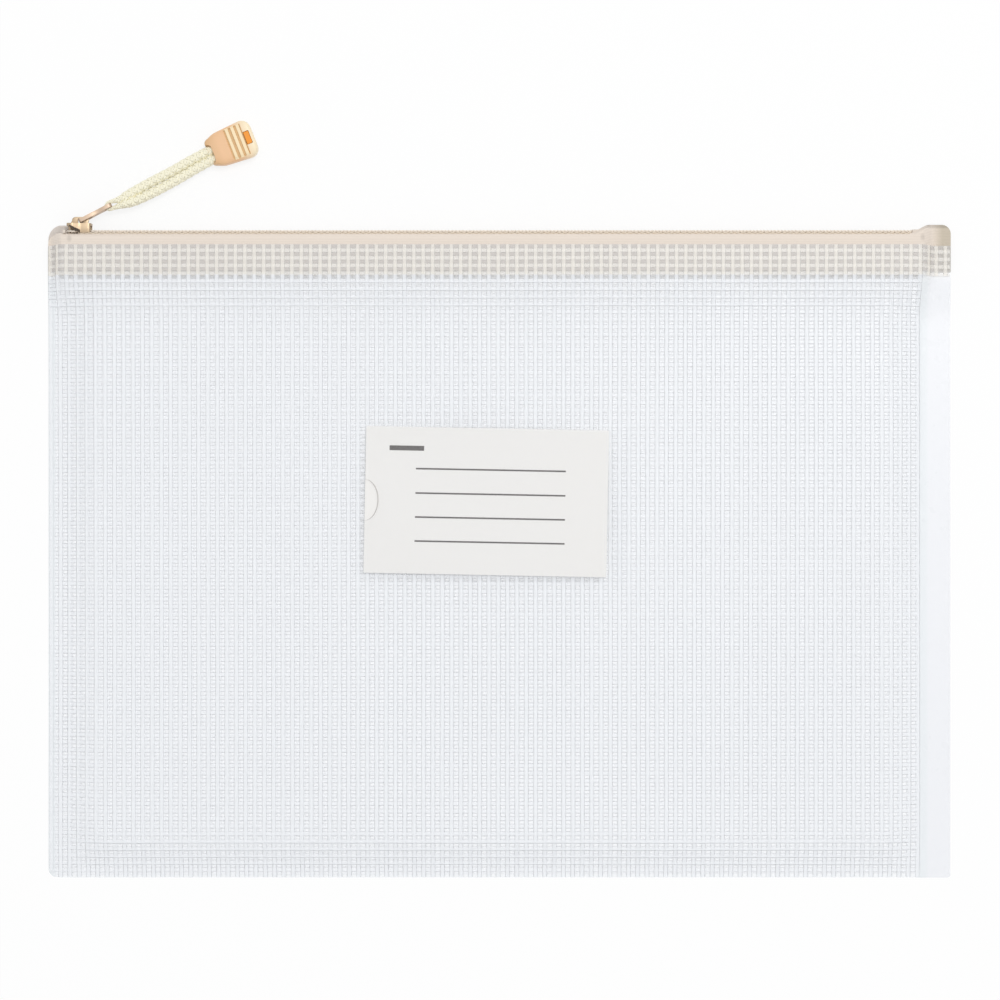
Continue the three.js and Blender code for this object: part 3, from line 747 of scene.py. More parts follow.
# Geometry trees
def yarn_tree():
    """Parallel yarns laid on a film: evenly spaced lines that follow the film's surface."""
    tree, s, sink = geometry_tree(
        "Laid yarns",
        {
            "Along Y": False,
            "First": 0.0,
            "Pitch": 0.003,
            "Count": 10,
            "Start": 0.0,
            "End": 0.1,
            "Points": 40,
            "Width": 0.0015,
            "Thickness": 0.0004,
            "Wander": 0.0002,
            "Wander Scale": 12.0,
            "Seed": 0.0,
            "Lift": 0.0,
            "Skew": 0.0,
        },
    )
    above, ray_length, stray_height = 0.05, 0.2, 0.04
    ends = {"Start": combined(tree, s["Start"]), "End": combined(tree, s["End"])}
    line = made(tree, "GeometryNodeCurvePrimitiveLine", ends)
    fine = made(tree, "GeometryNodeResampleCurve", {"Curve": line, "Count": s["Points"]})
    start, step = combined(tree, y=s["First"]), combined(tree, y=s["Pitch"])
    spacing = {"Count": s["Count"], "Start Location": start, "Offset": step}
    rows = made(tree, "GeometryNodeMeshLine", spacing)
    laid = made(tree, "GeometryNodeInstanceOnPoints", {"Points": rows, "Instance": fine})
    lines = made(tree, "GeometryNodeRealizeInstances", {0: laid})
    position = made(tree, "GeometryNodeInputPosition")
    run, row, _ = parted(tree, position)
    seeded = combined(tree, run, row, s["Seed"])
    noise = {"Vector": seeded, "Scale": s["Wander Scale"], "Detail": 1.0}
    drift = math_node(tree, "SUBTRACT", made(tree, "ShaderNodeTexNoise", noise), 0.5)
    drift = math_node(tree, "MULTIPLY", drift, math_node(tree, "MULTIPLY", s["Wander"], 2.0))
    drift = math_node(tree, "MULTIPLY_ADD", run, s["Skew"], drift)
    across = math_node(tree, "ADD", row, drift)
    ways = {"False": combined(tree, run, across, above), "True": combined(tree, across, run, above)}
    way = {"Switch": s["Along Y"], **ways}
    chosen = made(tree, "GeometryNodeSwitch", way, input_type="VECTOR")
    placed = moved(tree, lines, Position=chosen)
    ray = add_node(
        tree,
        "GeometryNodeRaycast",
        {
            "Target Geometry": s["Geometry"],
            "Source Position": position,
            "Ray Direction": (0, 0, -1),
            "Ray Length": ray_length,
        },
    ).outputs
    landing = vector_node(tree, "ADD", ray["Hit Position"], combined(tree, z=s["Lift"]))
    landed = moved(tree, placed, Selection=ray["Is Hit"], Position=landing)
    stray = math_node(tree, "GREATER_THAN", parted(tree, position)[2], stray_height)
    values = {"Geometry": landed, "Selection": stray}
    kept = made(tree, "GeometryNodeDeleteGeometry", values, domain="POINT")
    level = made(tree, "GeometryNodeSetCurveNormal", {"Curve": kept}, mode="Z_UP")
    tube = swept(tree, level, oval(tree, 6, s["Width"], s["Thickness"]))
    return finish_tree(tree, sink, tube, (s["Material"], True))


def coil_tree():
    """A coil row: one filament wound in flat turns along a line, round a cord core."""
    tree, s, sink = geometry_tree(
        "Coil row",
        {
            "Pitch": 0.0013,
            "Half Depth": 0.0004,
            "Half Height": 0.0011,
            "Filament": 0.00045,
            "Turn Points": 12,
        },
    )
    curve = made(tree, "GeometryNodeMeshToCurve", {"Mesh": s["Geometry"]})
    length = made(tree, "GeometryNodeCurveLength", {"Curve": curve})
    turns = math_node(tree, "DIVIDE", length, s["Pitch"])
    count = math_node(tree, "MULTIPLY", turns, s["Turn Points"])
    fine = made(tree, "GeometryNodeResampleCurve", {"Curve": curve, "Count": count})
    turn = math_node(tree, "DIVIDE", length_along(tree), s["Pitch"])
    deep = math_node(tree, "MULTIPLY", wave(tree, "COSINE", turn), s["Half Depth"])
    tall = math_node(tree, "MULTIPLY", wave(tree, "SINE", turn), s["Half Height"])
    wound = moved(tree, fine, Offset=combined(tree, y=deep, z=tall))
    radius = math_node(tree, "MULTIPLY", s["Filament"], 0.5)
    outward = math_node(tree, "MULTIPLY", s["Half Height"], 0.55)
    core_line = moved(tree, curve, Offset=combined(tree, z=outward))
    core_radius = math_node(tree, "MULTIPLY", s["Half Depth"], 0.95)
    core = swept(tree, core_line, circle(tree, 8, core_radius))
    both = joined(tree, swept(tree, wound, circle(tree, 6, radius)), core)
    return finish_tree(tree, sink, both, (s["Material"], True))


def stitch_tree():
    """Chain stitches: one thread along a line that dips between its stitches."""
    inputs = {"Pitch": 0.0022, "Thread": 0.0005, "Dip": 0.00012}
    tree, s, sink = geometry_tree("Chain stitches", inputs)
    fine = followed(tree, s["Geometry"], math_node(tree, "MULTIPLY", s["Pitch"], 0.25))
    turn = math_node(tree, "DIVIDE", length_along(tree), s["Pitch"])
    dip = math_node(tree, "MULTIPLY", wave(tree, "COSINE", turn), s["Dip"])
    sewn = moved(tree, fine, Offset=combined(tree, y=dip))
    radius = math_node(tree, "MULTIPLY", s["Thread"], 0.5)
    tube = swept(tree, sewn, circle(tree, 6, radius))
    return finish_tree(tree, sink, tube, (s["Material"], True))


def braid_tree():
    """A round braid: carriers wound both ways round a path and passing over and under."""
    tree, s, sink = geometry_tree(
        "Round braid",
        {
            "Step": 0.0003,
            "Carriers": 8,
            "Braid Pitch": 0.008,
            "Radius": 0.0017,
            "Pinched Radius": 0.00075,
            "Pinch Run": 0.0075,
            "Pinch Length": 0.0022,
            "Carrier Width": 0.56,
            "Carrier Thickness": 0.3,
            "Lane Radius": 0.77,
            "Lane Sway": 0.13,
            "Core Radius": 0.74,
            "Core Material": "NodeSocketMaterial",
        },
    )
    fine = followed(tree, s["Geometry"], s["Step"])
    run = length_along(tree)
    total = made(tree, "GeometryNodeCurveLength", {"Curve": fine})
    from_fold = math_node(tree, "SUBTRACT", run, math_node(tree, "MULTIPLY", total, 0.5))
    from_fold = math_node(tree, "ABSOLUTE", from_fold)
    past = math_node(tree, "SUBTRACT", from_fold, s["Pinch Length"])
    radius = remap(tree, past, 0.0, s["Pinch Run"], s["Pinched Radius"], s["Radius"], "SMOOTHSTEP")
    path = made(tree, "GeometryNodeSetCurveNormal", {"Curve": fine}, mode="Z_UP")
    marks = []
    for label, kind, value in (
        ("cord_normal", "FLOAT_VECTOR", made(tree, "GeometryNodeInputNormal")),
        ("cord_tangent", "FLOAT_VECTOR", made(tree, "GeometryNodeInputTangent")),
        ("cord_radius", "FLOAT", radius),
        ("cord_run", "FLOAT", run),
    ):
        path = marked(tree, path, label, kind, value)
        marks.append(mark(tree, label, kind))
    cord_normal, cord_tangent, cord_radius, cord_run = marks
    binormal = vector_node(tree, "CROSS_PRODUCT", cord_tangent, cord_normal)
    carriers = []
    for way in (1, -1):
        values = {"Geometry": path, "Amount": s["Carriers"]}
        copies = add_node(tree, "GeometryNodeDuplicateElements", values, domain="SPLINE").outputs
        share = math_node(tree, "DIVIDE", copies[1], s["Carriers"])
        turn = math_node(tree, "DIVIDE", cord_run, s["Braid Pitch"])
        phase = math_node(tree, "MULTIPLY_ADD", turn, float(way), share)
        own = math_node(tree, "MULTIPLY", copies[1], 0.5 * way)
        lane = wave(tree, "SINE", math_node(tree, "MULTIPLY_ADD", turn, s["Carriers"], own))
        sway = math_node(tree, "MULTIPLY", s["Lane Sway"], float(way))
        over = math_node(tree, "MULTIPLY_ADD", lane, sway, s["Lane Radius"])
        reach = math_node(tree, "MULTIPLY", cord_radius, over)
        aside = vector_node(tree, "SCALE", cord_normal, wave(tree, "COSINE", phase))
        above = vector_node(tree, "SCALE", binormal, wave(tree, "SINE", phase))
        outward = vector_node(tree, "ADD", aside, above)
        wound = moved(tree, copies[0], Offset=vector_node(tree, "SCALE", outward, reach))
        carriers.append(marked(tree, wound, "cord_outward", "FLOAT_VECTOR", outward))
    facing = {"Curve": joined(tree, *carriers), "Normal": mark(tree, "cord_outward", "FLOAT_VECTOR")}
    facing = made(tree, "GeometryNodeSetCurveNormal", facing, mode="FREE")
    flat = oval(tree, 7, s["Carrier Thickness"], s["Carrier Width"])
    braid = swept(tree, facing, flat, Scale=cord_radius)
    core = swept(tree, path, circle(tree, 12, s["Core Radius"]), Scale=cord_radius)
    core = marked(tree, core, "cord_core", "BOOLEAN", True, "FACE")
    inner = (s["Core Material"], mark(tree, "cord_core", "BOOLEAN"))
    return finish_tree(tree, sink, joined(tree, braid, core), (s["Material"], True), inner)


# Cord route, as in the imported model
PULL_ANGLE = math.radians(27.5)
FAR_BAR = Vector((-144.468, 129.795, CHAIN_HEIGHT))
FOLD_ALONG = 1.55
FOLD_ACROSS = 1.3
CORD_STATIONS = (
    (-139.9, 131.3, 4.3, 1.1),
    (-135.9, 133.1, 4.1, 1.6),
    (-129.1, 136.6, 3.8, 1.9),
    (-121.0, 140.95, 3.4, 1.85),
    (-114.6, 144.7, 3.2, 1.8),
    (-110.6, 146.9, 3.1, 1.75),
    (-107.5, 148.5, 3.1, 1.72),
    (-103.4, 150.1, 3.1, 1.72),
)


def cord_strand(side):
    """Points down one strand, beside the line of the stations by each one's spread."""
    strand = []
    for i, (x, y, z, spread) in enumerate(CORD_STATIONS):
        before = CORD_STATIONS[max(i - 1, 0)]
        after = CORD_STATIONS[min(i + 1, len(CORD_STATIONS) - 1)]
        heading = Vector((after[0] - before[0], after[1] - before[1], 0)).normalized()
        aside = spread * side
        strand.append(Vector((x - heading.y * aside, y + heading.x * aside, z)))
    return strand


def cord_guides():
    """Points up one strand, round the far bar through the eye and down the other strand."""
    along = Vector((math.cos(PULL_ANGLE), math.sin(PULL_ANGLE), 0))
    across = Vector((-along.y, along.x, 0))
    fold = []
    for degrees in range(90, 271, 30):
        c, s = math.cos(math.radians(degrees)), math.sin(math.radians(degrees))
        fold.append(FAR_BAR + along * FOLD_ALONG * c + across * FOLD_ACROSS * s)
    return cord_strand(1)[::-1] + fold + cord_strand(-1)


def smooth_path(guides, steps):
    """A centripetal Catmull-Rom curve through the guides."""
    ends = [guides[0] * 2 - guides[1]] + guides + [guides[-1] * 2 - guides[-2]]
    path = []
    for i in range(len(guides) - 1):
        p0, p1, p2, p3 = ends[i : i + 4]
        d0, d1, d2 = (math.sqrt((b - a).length) for a, b in ((p0, p1), (p1, p2), (p2, p3)))
        m1 = ((p1 - p0) / d0 - (p2 - p0) / (d0 + d1) + (p2 - p1) / d1) * d1
        m2 = ((p2 - p1) / d1 - (p3 - p1) / (d1 + d2) + (p3 - p2) / d2) * d1
        for k in range(steps):
            t = k / steps
            path.append(
                p1 * (2 * t**3 - 3 * t**2 + 1)
                + m1 * (t**3 - 2 * t**2 + t)
                + p2 * (3 * t**2 - 2 * t**3)
                + m2 * (t**3 - t**2)
            )
    return path + [guides[-1]]


# Zip
ZIP_SIDES = ((1, "front"), (-1, "back"))
FOLD_STEPS = 8
COIL_INSET = 0.3
SEAM_GAP = 0.35
SEAM_Y = RUN_Y + 0.12


def tape_limit(x, side):
    """The highest y that a tape reaches at x, with its rounded outer corners."""
    top, radius, inset = FOLD_Y + 4.5, 0.0, x - LEFT
    if x > 0:
        radius, inset = RIGHT_CORNER_RADIUS, RIGHT - x
        if x > RIGHT_RISE_START:
            rise = smooth_step((x - RIGHT_RISE_START) / RIGHT_RISE_RUN)
            top = RISE_TOP_Y + RIGHT_RISE * rise
    elif side < 0:
        top, radius = FOLD_Y + 2.5, 5.6
    elif x < FRONT_CORNER_END:
        top, radius = RUN_Y + 0.35, 4.0
    return top - rounding(inset, radius)


def tape_face(radius, outer, fold, straight, upright, limit):
    """One face of the tape's section, as y and the distance from the zip's middle."""
    side = outer - TAPE_RADIUS
    flat = straight - TAPE_EDGE_Y
    line = [(TAPE_EDGE_Y + flat * share, side + radius) for share in (0.0, 0.3, 0.6, 0.85)]
    for i in range(FOLD_STEPS + 1):
        angle = fold * i / FOLD_STEPS
        line.append((straight + radius * math.sin(angle), side + radius * math.cos(angle)))
    y, w = line[-1]
    line.append((y + upright * math.cos(fold), w - upright * math.sin(fold)))
    return [(min(y, limit), w) for y, w in line]


def tape_section(x, side):
    """The closed section of a tape at x: flat, folded up to the coil, and upright."""
    stand = header_stand(x)
    if side < 0 and x < 0:
        stand = smooth_step((x - BACK_STAND_START) / BACK_STAND_RUN)
    outer = TAPE_SEAM_OUTER + (TAPE_OUTER - TAPE_SEAM_OUTER) * stand if side > 0 else TAPE_OUTER
    fold = math.asin(stand)
    unfolded = (math.pi / 2 - fold) * (TAPE_RADIUS - TAPE_THICKNESS / 2)
    upright = TAPE_UPRIGHT - row_spread(x) * stand + unfolded + SEAM_UPRIGHT * (1 - stand)
    straight = RUN_Y - TAPE_RADIUS
    if x > 0:
        straight += RIGHT_RUN_LIFT * smooth_step((x - RIGHT_RISE_START) / RIGHT_LIFT_RUN)
        straight += RIGHT_TAPE_LIFT * (1 - stand)
    shape = (outer, fold, straight, upright, tape_limit(x, side))
    ring = tape_face(TAPE_RADIUS, *shape) + tape_face(TAPE_RADIUS - TAPE_THICKNESS, *shape)[::-1]
    return [(x, y, CHAIN_HEIGHT + side * w) for y, w in ring]


def arc_stations(end, reach, angles):
    """Stations that crowd towards an end, as a round corner needs them."""
    return [end + reach * (1 - math.cos(math.radians(a))) for a in angles]


def tape_mesh(name, side, material):
    """One zip tape, folded up to the coil, with u along the zip and v along its section."""
    xs = arc_stations(LEFT, 6.0, range(0, 91, 9)) + spaced(LEFT + 6.2, LEFT + 13, 0.6)
    xs += spaced(LEFT + 15, RIGHT - 21, 4.0) + spaced(RIGHT - 19, RIGHT - 3.8, 0.8)
    xs += arc_stations(RIGHT, -RIGHT_CORNER_RADIUS, range(90, -1, -10))
    if side > 0:
        xs += [FRONT_CORNER_END - 0.001, FRONT_CORNER_END + 0.001]
    rings = [tape_section(x, side) for x in sorted(set(round(x, 4) for x in xs))]
    count = len(rings[0])
    points, uvs = [], []
    for ring in rings:
        run = 0.0
        for before, point in zip([ring[0]] + ring, ring):
            run += math.dist(before, point)
            uvs.append((point[0] * MM, run * MM))
        points += ring
    faces = ring_quads(len(rings), count)
    last = (len(rings) - 1) * count
    for i in range(count // 2 - 1):
        quad = (i, count - 1 - i, count - 2 - i, i + 1)
        faces += [quad, tuple(last + k for k in quad[::-1])]
    if side < 0:
        faces = [face[::-1] for face in faces]
    return smooth_by_angle(turn_outwards(mesh_piece(name, points, faces, material, uvs)), 50)


# Slider and stops
MOUTH_X = -159.6
BODY_X = -155.9
FLANGE_FOOT_Y = 119.65
FLANGE_TOP_Y = 120.75
FLANGE_LOW_Y = 119.5
FLANGE_MOUTH_Y = 122.0
CROWN_Y = 123.0
BRIDGE_TOP_Y = 125.05
BRIDGE_MIDDLE_X = -155.6
BRIDGE_GAP = (-158.1, -153.9)
CLOSER_GAP = (-156.5, -154.6)
CLIP_LOW_Y = 120.5
BRIDGE_LEFT_SHIFT = 0.55
BRIDGE_RIGHT_SHIFT = 0.35
BRIDGE_SQUASH = 0.94
BRIDGE_TOP_SQUASH = 0.9
CLIP_SQUASH = 0.64
# Where the strip of painted shade lies over the slider's mouth
MOUTH_LINE = (
    (-159.3, 121.8, 0.6),
    (-158.1, 121.05, 0.85),
    (-156.8, 120.25, 1.05),
    (-155.35, 119.4, 1.25),
)
MOUTH_DROP = 0.1
MOUTH_DEPTH = 0.35
WALL_OUTER = 2.9
WALL_FLARE = 1.02
FLARE_START_X = -155.0
FLARE_RUN = 3.6


def flange_low(x):
    """The lower edge of the slider's side walls, which rises towards the mouth."""
    share = min(max((BODY_X - x) / (BODY_X - MOUTH_X), 0.0), 1.0)
    return FLANGE_LOW_Y + (FLANGE_MOUTH_Y - FLANGE_LOW_Y) * share


def slider_place(x, y, z):
    """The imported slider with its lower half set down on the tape's fold, and a closer bridge."""
    if y < FLANGE_FOOT_Y:
        return x, y - ZIP_DROP, z
    if y < FLANGE_TOP_Y:
        return x, flange_low(x), z
    if y > CROWN_Y + 0.005:
        low = y < BRIDGE_TOP_Y
        if low and BRIDGE_GAP[0] < x < BRIDGE_GAP[1]:
            x = max(min(x, CLOSER_GAP[1]), CLOSER_GAP[0])
        else:
            x += BRIDGE_LEFT_SHIFT if x < BRIDGE_MIDDLE_X else BRIDGE_RIGHT_SHIFT
        y = CROWN_Y + (y - CROWN_Y) * (BRIDGE_SQUASH if low else BRIDGE_TOP_SQUASH)
    return x, y, z


def drop_place(x, y, z):
    return x, y - ZIP_DROP, z


def clip_place(x, y, z):
    """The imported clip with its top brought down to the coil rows."""
    return x, CLIP_LOW_Y - ZIP_DROP + (y - CLIP_LOW_Y) * CLIP_SQUASH, z


def mouth_shade_mesh(name, material):
    """A dark strip over the mouth, on both side walls: painted shade for the shadow inside the slider.
    """
    blocks = []
    for side in (1, -1):
        points = []
        for x, y, tall in MOUTH_LINE:
            outer = WALL_OUTER + WALL_FLARE * smooth_step((FLARE_START_X - x) / FLARE_RUN)
            for py in (y - MOUTH_DROP, y + tall - MOUTH_DROP):
                for reach in (outer - MOUTH_DEPTH, outer):
                    points.append((x, py, CHAIN_HEIGHT + side * reach))
        faces = [(0, 1, 3, 2), (12, 14, 15, 13)]
        for a in (0, 4, 8):
            b = a + 4
            faces += [(a, b, b + 1, a + 1), (a + 1, b + 1, b + 3, a + 3)]
            faces += [(a + 3, b + 3, b + 2, a + 2), (a + 2, b + 2, b, a)]
        blocks.append((points, faces))
    return turn_outwards(block_piece(name, blocks, material))


# Tag
TAG_ANGLE = math.radians(21.5)
TAG_ALONG = (math.cos(TAG_ANGLE), math.sin(TAG_ANGLE), 0.0)
TAG_LENGTH = 18.2
TAG_MOUTH = 6.0
TAG_END = 7.4
TAG_HALF_HEIGHT = 3.0
TAG_CENTRE = (-99.75, 152.4, 3.1)
TAG_START = tuple(c - TAG_LENGTH / 2 * a for c, a in zip(TAG_CENTRE, TAG_ALONG))
TAG_AROUND = 96
TAG_SQUARENESS = 0.42
WINDOW_LENGTH = 2.3
WINDOW_WIDTH = 5.0
WINDOW_MIDDLE = TAG_LENGTH - 1.1 - WINDOW_LENGTH / 2
RIDGES = (9.5, 11.65, 13.8)
TAG_WAIST = 1.2
TAG_WAIST_RUN = 5
TAG_MOUTH_CORNER = 1.2
TAG_END_CORNER = 3.8
TAG_MOUTH_EDGE = 0.9
TAG_END_EDGE = 1.2
RIDGE_HEIGHT = 0.2
GROOVE_DEPTH = 0.45


def on_tag(points):
    """Turns points drawn along the tag from its mouth into their place on the cord."""
    return turned(points, TAG_ANGLE, TAG_START)


def ridge_side(across):
    return smooth_step((6.3 - abs(across)) / 0.5)


def ridge_bar(s):
    return max(smooth_step((0.8 - abs(s - ridge)) / 0.3) for ridge in RIDGES)


def ridge_groove(s, across):
    zone = smooth_step((s - RIDGES[0] + 1.35) / 0.4) * smooth_step((RIDGES[-1] + 1.15 - s) / 0.4)
    return ridge_side(across) * zone * (1 - ridge_bar(s))


def ridge_height(s, across):
    """The grip ridges on the tag's face: three bars with grooves beside them."""
    bars = RIDGE_HEIGHT * ridge_side(across) * ridge_bar(s)
    return bars - GROOVE_DEPTH * ridge_groove(s, across)


def insert_mesh(name, material):
    """The rounded block under the tag's window."""
    outline = rounded_corners(WINDOW_LENGTH - 0.3, WINDOW_WIDTH - 0.3, 0.25)
    block = prism(shifted(outline, WINDOW_MIDDLE, 0.0), 0.2, 2.9)
    return round_edges(block_piece(name, [block], material, on_tag), 0.12, 2)


def tag_ring(s):
    """The tag's rounded section, s along from its mouth."""
    half = TAG_MOUTH + (TAG_END - TAG_MOUTH) * s / TAG_LENGTH
    waist = TAG_WAIST * (1 - smooth_step(s / TAG_WAIST_RUN))
    half -= waist + rounding(s, TAG_MOUTH_CORNER) + rounding(TAG_LENGTH - s, TAG_END_CORNER)
    height = TAG_HALF_HEIGHT - rounding(s, TAG_MOUTH_EDGE) - rounding(TAG_LENGTH - s, TAG_END_EDGE)
    ring = []
    for i in range(TAG_AROUND):
        angle = 2 * math.pi * i / TAG_AROUND
        c, d = math.cos(angle), math.sin(angle)
        y = half * math.copysign(abs(c) ** TAG_SQUARENESS, c)
        z = height * math.copysign(abs(d) ** TAG_SQUARENESS, d)
        ring.append((s, y, z + ridge_height(s, y) if z > 0.9 * height else z))
    return ring


def paint_ridges(mesh, stations, points):
    """Gives the grooves the tag's second material, painted shade, and the ridges its third, a painted
    highlight.
    """
    for r, (before, after) in enumerate(zip(stations, stations[1:])):
        middle = (before + after) / 2
        for i in range(r * TAG_AROUND, (r + 1) * TAG_AROUND):
            across, above = points[i][1:]
            if above > 1.0 and ridge_groove(middle, across) > 0.45:
                mesh.polygons[1 + i].material_index = 1
            elif above > 1.0 and ridge_side(across) * ridge_bar(middle) > 0.5:
                mesh.polygons[1 + i].material_index = 2


def cut_opening(piece, block, material):
    """Cuts a block drawn along the tag out of a piece."""
    cutter = block_piece("cutter", [block], material, on_tag)
    cut = piece.modifiers.new("Opening", "BOOLEAN")
    cut.operation = "DIFFERENCE"
    cut.solver = "EXACT"
    cut.object = cutter
    settle(piece)
    bpy.data.objects.remove(cutter)


# The second and third materials paint shade in the grooves and a highlight on the ridges
def tag_mesh(name, material, groove_shade, ridge):
    """The moulded tag: a rounded wedge with a mouth for the cord, ridges and a window."""
    stations = [0.0, 0.08, 0.25, 0.5, 0.8, 1.2, 1.7, 2.3, 3.2, 4.5, 6.0]
    stations += spaced(7.2, 15.4, 0.16)
    stations += [TAG_LENGTH - s for s in (2.8, 2.0, 1.5, 1.1, 0.75, 0.45, 0.2, 0.06, 0.0)]
    points = [point for s in stations for point in tag_ring(s)]
    last = len(points) - TAG_AROUND
    faces = [tuple(range(TAG_AROUND - 1, -1, -1)), *ring_quads(len(stations), TAG_AROUND)]
    faces.append(tuple(range(last, last + TAG_AROUND)))
    piece = mesh_piece(name, on_tag(points), faces, material)
    piece.data.materials.append(groove_shade)
    piece.data.materials.append(ridge)
    paint_ridges(piece.data, stations, points)
    mouth = shifted(rounded_corners(3.6, 7.6, 1.7), 0.2, -0.8)
    window = shifted(rounded_corners(WINDOW_LENGTH, WINDOW_WIDTH, 0.3), WINDOW_MIDDLE, 0.0)
    cut_opening(piece, prism(mouth, -2.0, 4.5), material)
    cut_opening(piece, prism(window, 0.3, 5.0), material)
    return smooth_by_angle(piece, 40)


# Card and pocket
RULED_LINES = (11.95, 2.9, -6.0, -14.9)
RULED_ENDS = (-26.3, 29.3)
BAR_ENDS = (-36.2, -23.4)
BAR_Y = 19.5
BAR_WIDTH = 1.8
PRINT_THICKNESS = 0.03
CARD_EXTRA = 0.4
# Width of the strip of painted shade along the pocket's thumb notch
NOTCH_EDGE_WIDTH = 0.36
POCKET_TOP = 7.0


def on_card(points):
    """Turns points drawn round the card's centre into their place on the bag."""
    return turned(points, CARD_TURN, (CARD_X, CARD_Y, 0.0))


def notch_line():
    """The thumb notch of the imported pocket, as points round the card's centre."""
    line = set()
    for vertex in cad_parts["card_pocket"].data.vertices:
        x, y, z = vertex.co / MM
        [(across, up, _)] = turned([(x - CARD_X, y - CARD_Y, 0.0)], -CARD_TURN, (0.0, 0.0, 0.0))
        if -45.3 < across < -36 and abs(up) < 12 and z > POCKET_TOP - 0.1:
            line.add((round(across, 2), round(up, 2)))
    return sorted(line, key=lambda point: point[1])


def printed(ends, y, width):
    """A printed bar on the card."""
    start, end = ends
    low, high = y - width / 2, y + width / 2
    outline = [(start, low), (end, low), (end, high), (start, high)]
    return prism(outline, CARD_TOP, CARD_TOP + PRINT_THICKNESS)


# Settings
def length_setting(name, description, default):
    return FloatProperty(name=name, description=description, default=default, unit="LENGTH")


def share_setting(name, description, default):
    return FloatProperty(name=name, description=description, default=default, subtype="FACTOR")


def color_setting(name, description, default):
    return FloatVectorProperty(
        name=name, description=description, default=default, subtype="COLOR"
    )


class FileBagMesh(bpy.types.PropertyGroup):
    """Sizes and colours of the mesh sheets."""

    warp_pitch: length_setting(
        "Warp pitch", "Distance between the yarns that run down the bag", 0.003472
    )
    weft_pitch: length_setting(
        "Weft pitch", "Distance between the yarns that run across the bag", 0.002808
    )
    yarn_width: length_setting("Yarn width", "Width of a pressed yarn", 0.00175)
    yarn_thickness: length_setting("Yarn thickness", "Thickness of a pressed yarn", 0.00014)
    yarn_color: color_setting("Yarn colour", "Colour of the yarns", (0.95, 0.958, 0.973))
    header_yarn_color: color_setting(
        "Header yarn colour", "Colour of the yarns that cross the zip's tape", (0.94, 0.92, 0.885)
    )
    film_color: color_setting(
        "Film colour", "Colour of the film between the yarns", (0.96, 0.968, 0.982)
    )
    front_opacity: share_setting(
        "Front film opacity", "How much one face of the front film hides", 0.16
    )
    back_opacity: share_setting(
        "Back film opacity", "How much one face of the back film hides", 0.38
    )
    yarn_opacity: share_setting("Yarn opacity", "How much one face of a yarn hides", 0.46)


class FileBagZip(bpy.types.PropertyGroup):
    """Sizes and colours of the zip."""

    tape_color: color_setting("Tape colour", "Colour of the woven tape", (0.945, 0.895, 0.845))
    # The back tape is the tape darkened: painted shade cast by the front tape
    back_tape_shade_color: color_setting(
        "Back tape colour",
        "Colour of the tape on the back, which the front one shades",
        (0.885, 0.85, 0.82),
    )
    coil_color: color_setting("Coil colour", "Colour of the coil filament", (0.94, 0.895, 0.84))
    coil_pitch: length_setting("Coil pitch", "Distance between two turns of a coil row", 0.0013)
    filament: length_setting("Filament", "Diameter of the coil filament", 0.00046)
    thread_color: color_setting(
        "Thread colour", "Colour of the sewing thread along the coil", (0.90, 0.845, 0.77)
    )
    stitch_length: length_setting("Stitch length", "Length of one chain stitch", 0.0022)
    gold_color: color_setting(
        "Slider colour", "Colour of the slider and the stops", (0.70, 0.62, 0.52)
    )
    pull_color: color_setting("Pull colour", "Colour of the pull", (0.76, 0.675, 0.595))


class FileBagCord(bpy.types.PropertyGroup):
    """Sizes and colours of the cord and its tag."""

    diameter: length_setting("Cord diameter", "Diameter of one strand of the cord", 0.0034)
    carriers: IntProperty(
        name="Carriers", description="Braid strands that run each way", default=6
    )
    braid_pitch: length_setting(
        "Braid pitch", "Length of cord in which a braid strand goes once round", 0.0082
    )
    cord_color: color_setting("Cord colour", "Colour of the braid", (0.98, 0.962, 0.87))
    tag_color: color_setting("Tag colour", "Colour of the moulded tag", (0.93, 0.755, 0.585))
    # Painted shade at the tag's mouth, where the cord goes in
    tag_mouth_shade_color: color_setting(
        "Tag mouth colour", "Colour of the tag at the cord, where it is thin", (0.83, 0.68, 0.50)
    )
    # Painted highlight on the tag's free end
    tag_end_highlight_color: color_setting(
        "Tag end colour", "Colour of the tag at its free end", (0.985, 0.935, 0.81)
    )
    # Painted shade in the grooves between the tag's ridges
    tag_groove_shade_color: color_setting(
        "Tag groove colour", "Colour in the grooves between the tag's ridges", (0.86, 0.72, 0.53)
    )
    # Painted highlight on the tag's ridges
    tag_ridge_highlight_color: color_setting(
        "Tag ridge colour", "Colour of the ridges that stand on the tag", (0.975, 0.89, 0.735)
    )
    insert_color: color_setting(
        "Insert colour", "Colour of the insert in the tag's window", (0.95, 0.59, 0.12)
    )


class FileBagCard(bpy.types.PropertyGroup):
    """Sizes and colours of the card and its pocket."""

    card_color: color_setting("Card colour", "Colour of the card", (0.947, 0.94, 0.93))
    line_color: color_setting("Line colour", "Colour of the ruled lines", (0.33, 0.31, 0.30))
    line_width: length_setting("Line width", "Width of a ruled line", 0.0006)


class FileBagStage(bpy.types.PropertyGroup):
    """Floor, lamps and camera."""

    floor_color: color_setting("Floor colour", "Colour of the floor", (0.99, 0.99, 0.99))
    key_power: FloatProperty(
        name="Key lamp",
        description="Power of the large soft lamp",
        default=32.0,
        unit="POWER",
    )
    sky_strength: FloatProperty(
        name="Sky",
        description="Strength of the even light from all sides",
        default=0.68,
    )
    camera_height: length_setting("Camera height", "Height of the camera over the floor", 1.0362)


# Operators
def dress(piece, body, node=None):
    """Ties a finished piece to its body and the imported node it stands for."""
    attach(piece, body)
    if node:
        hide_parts(node)


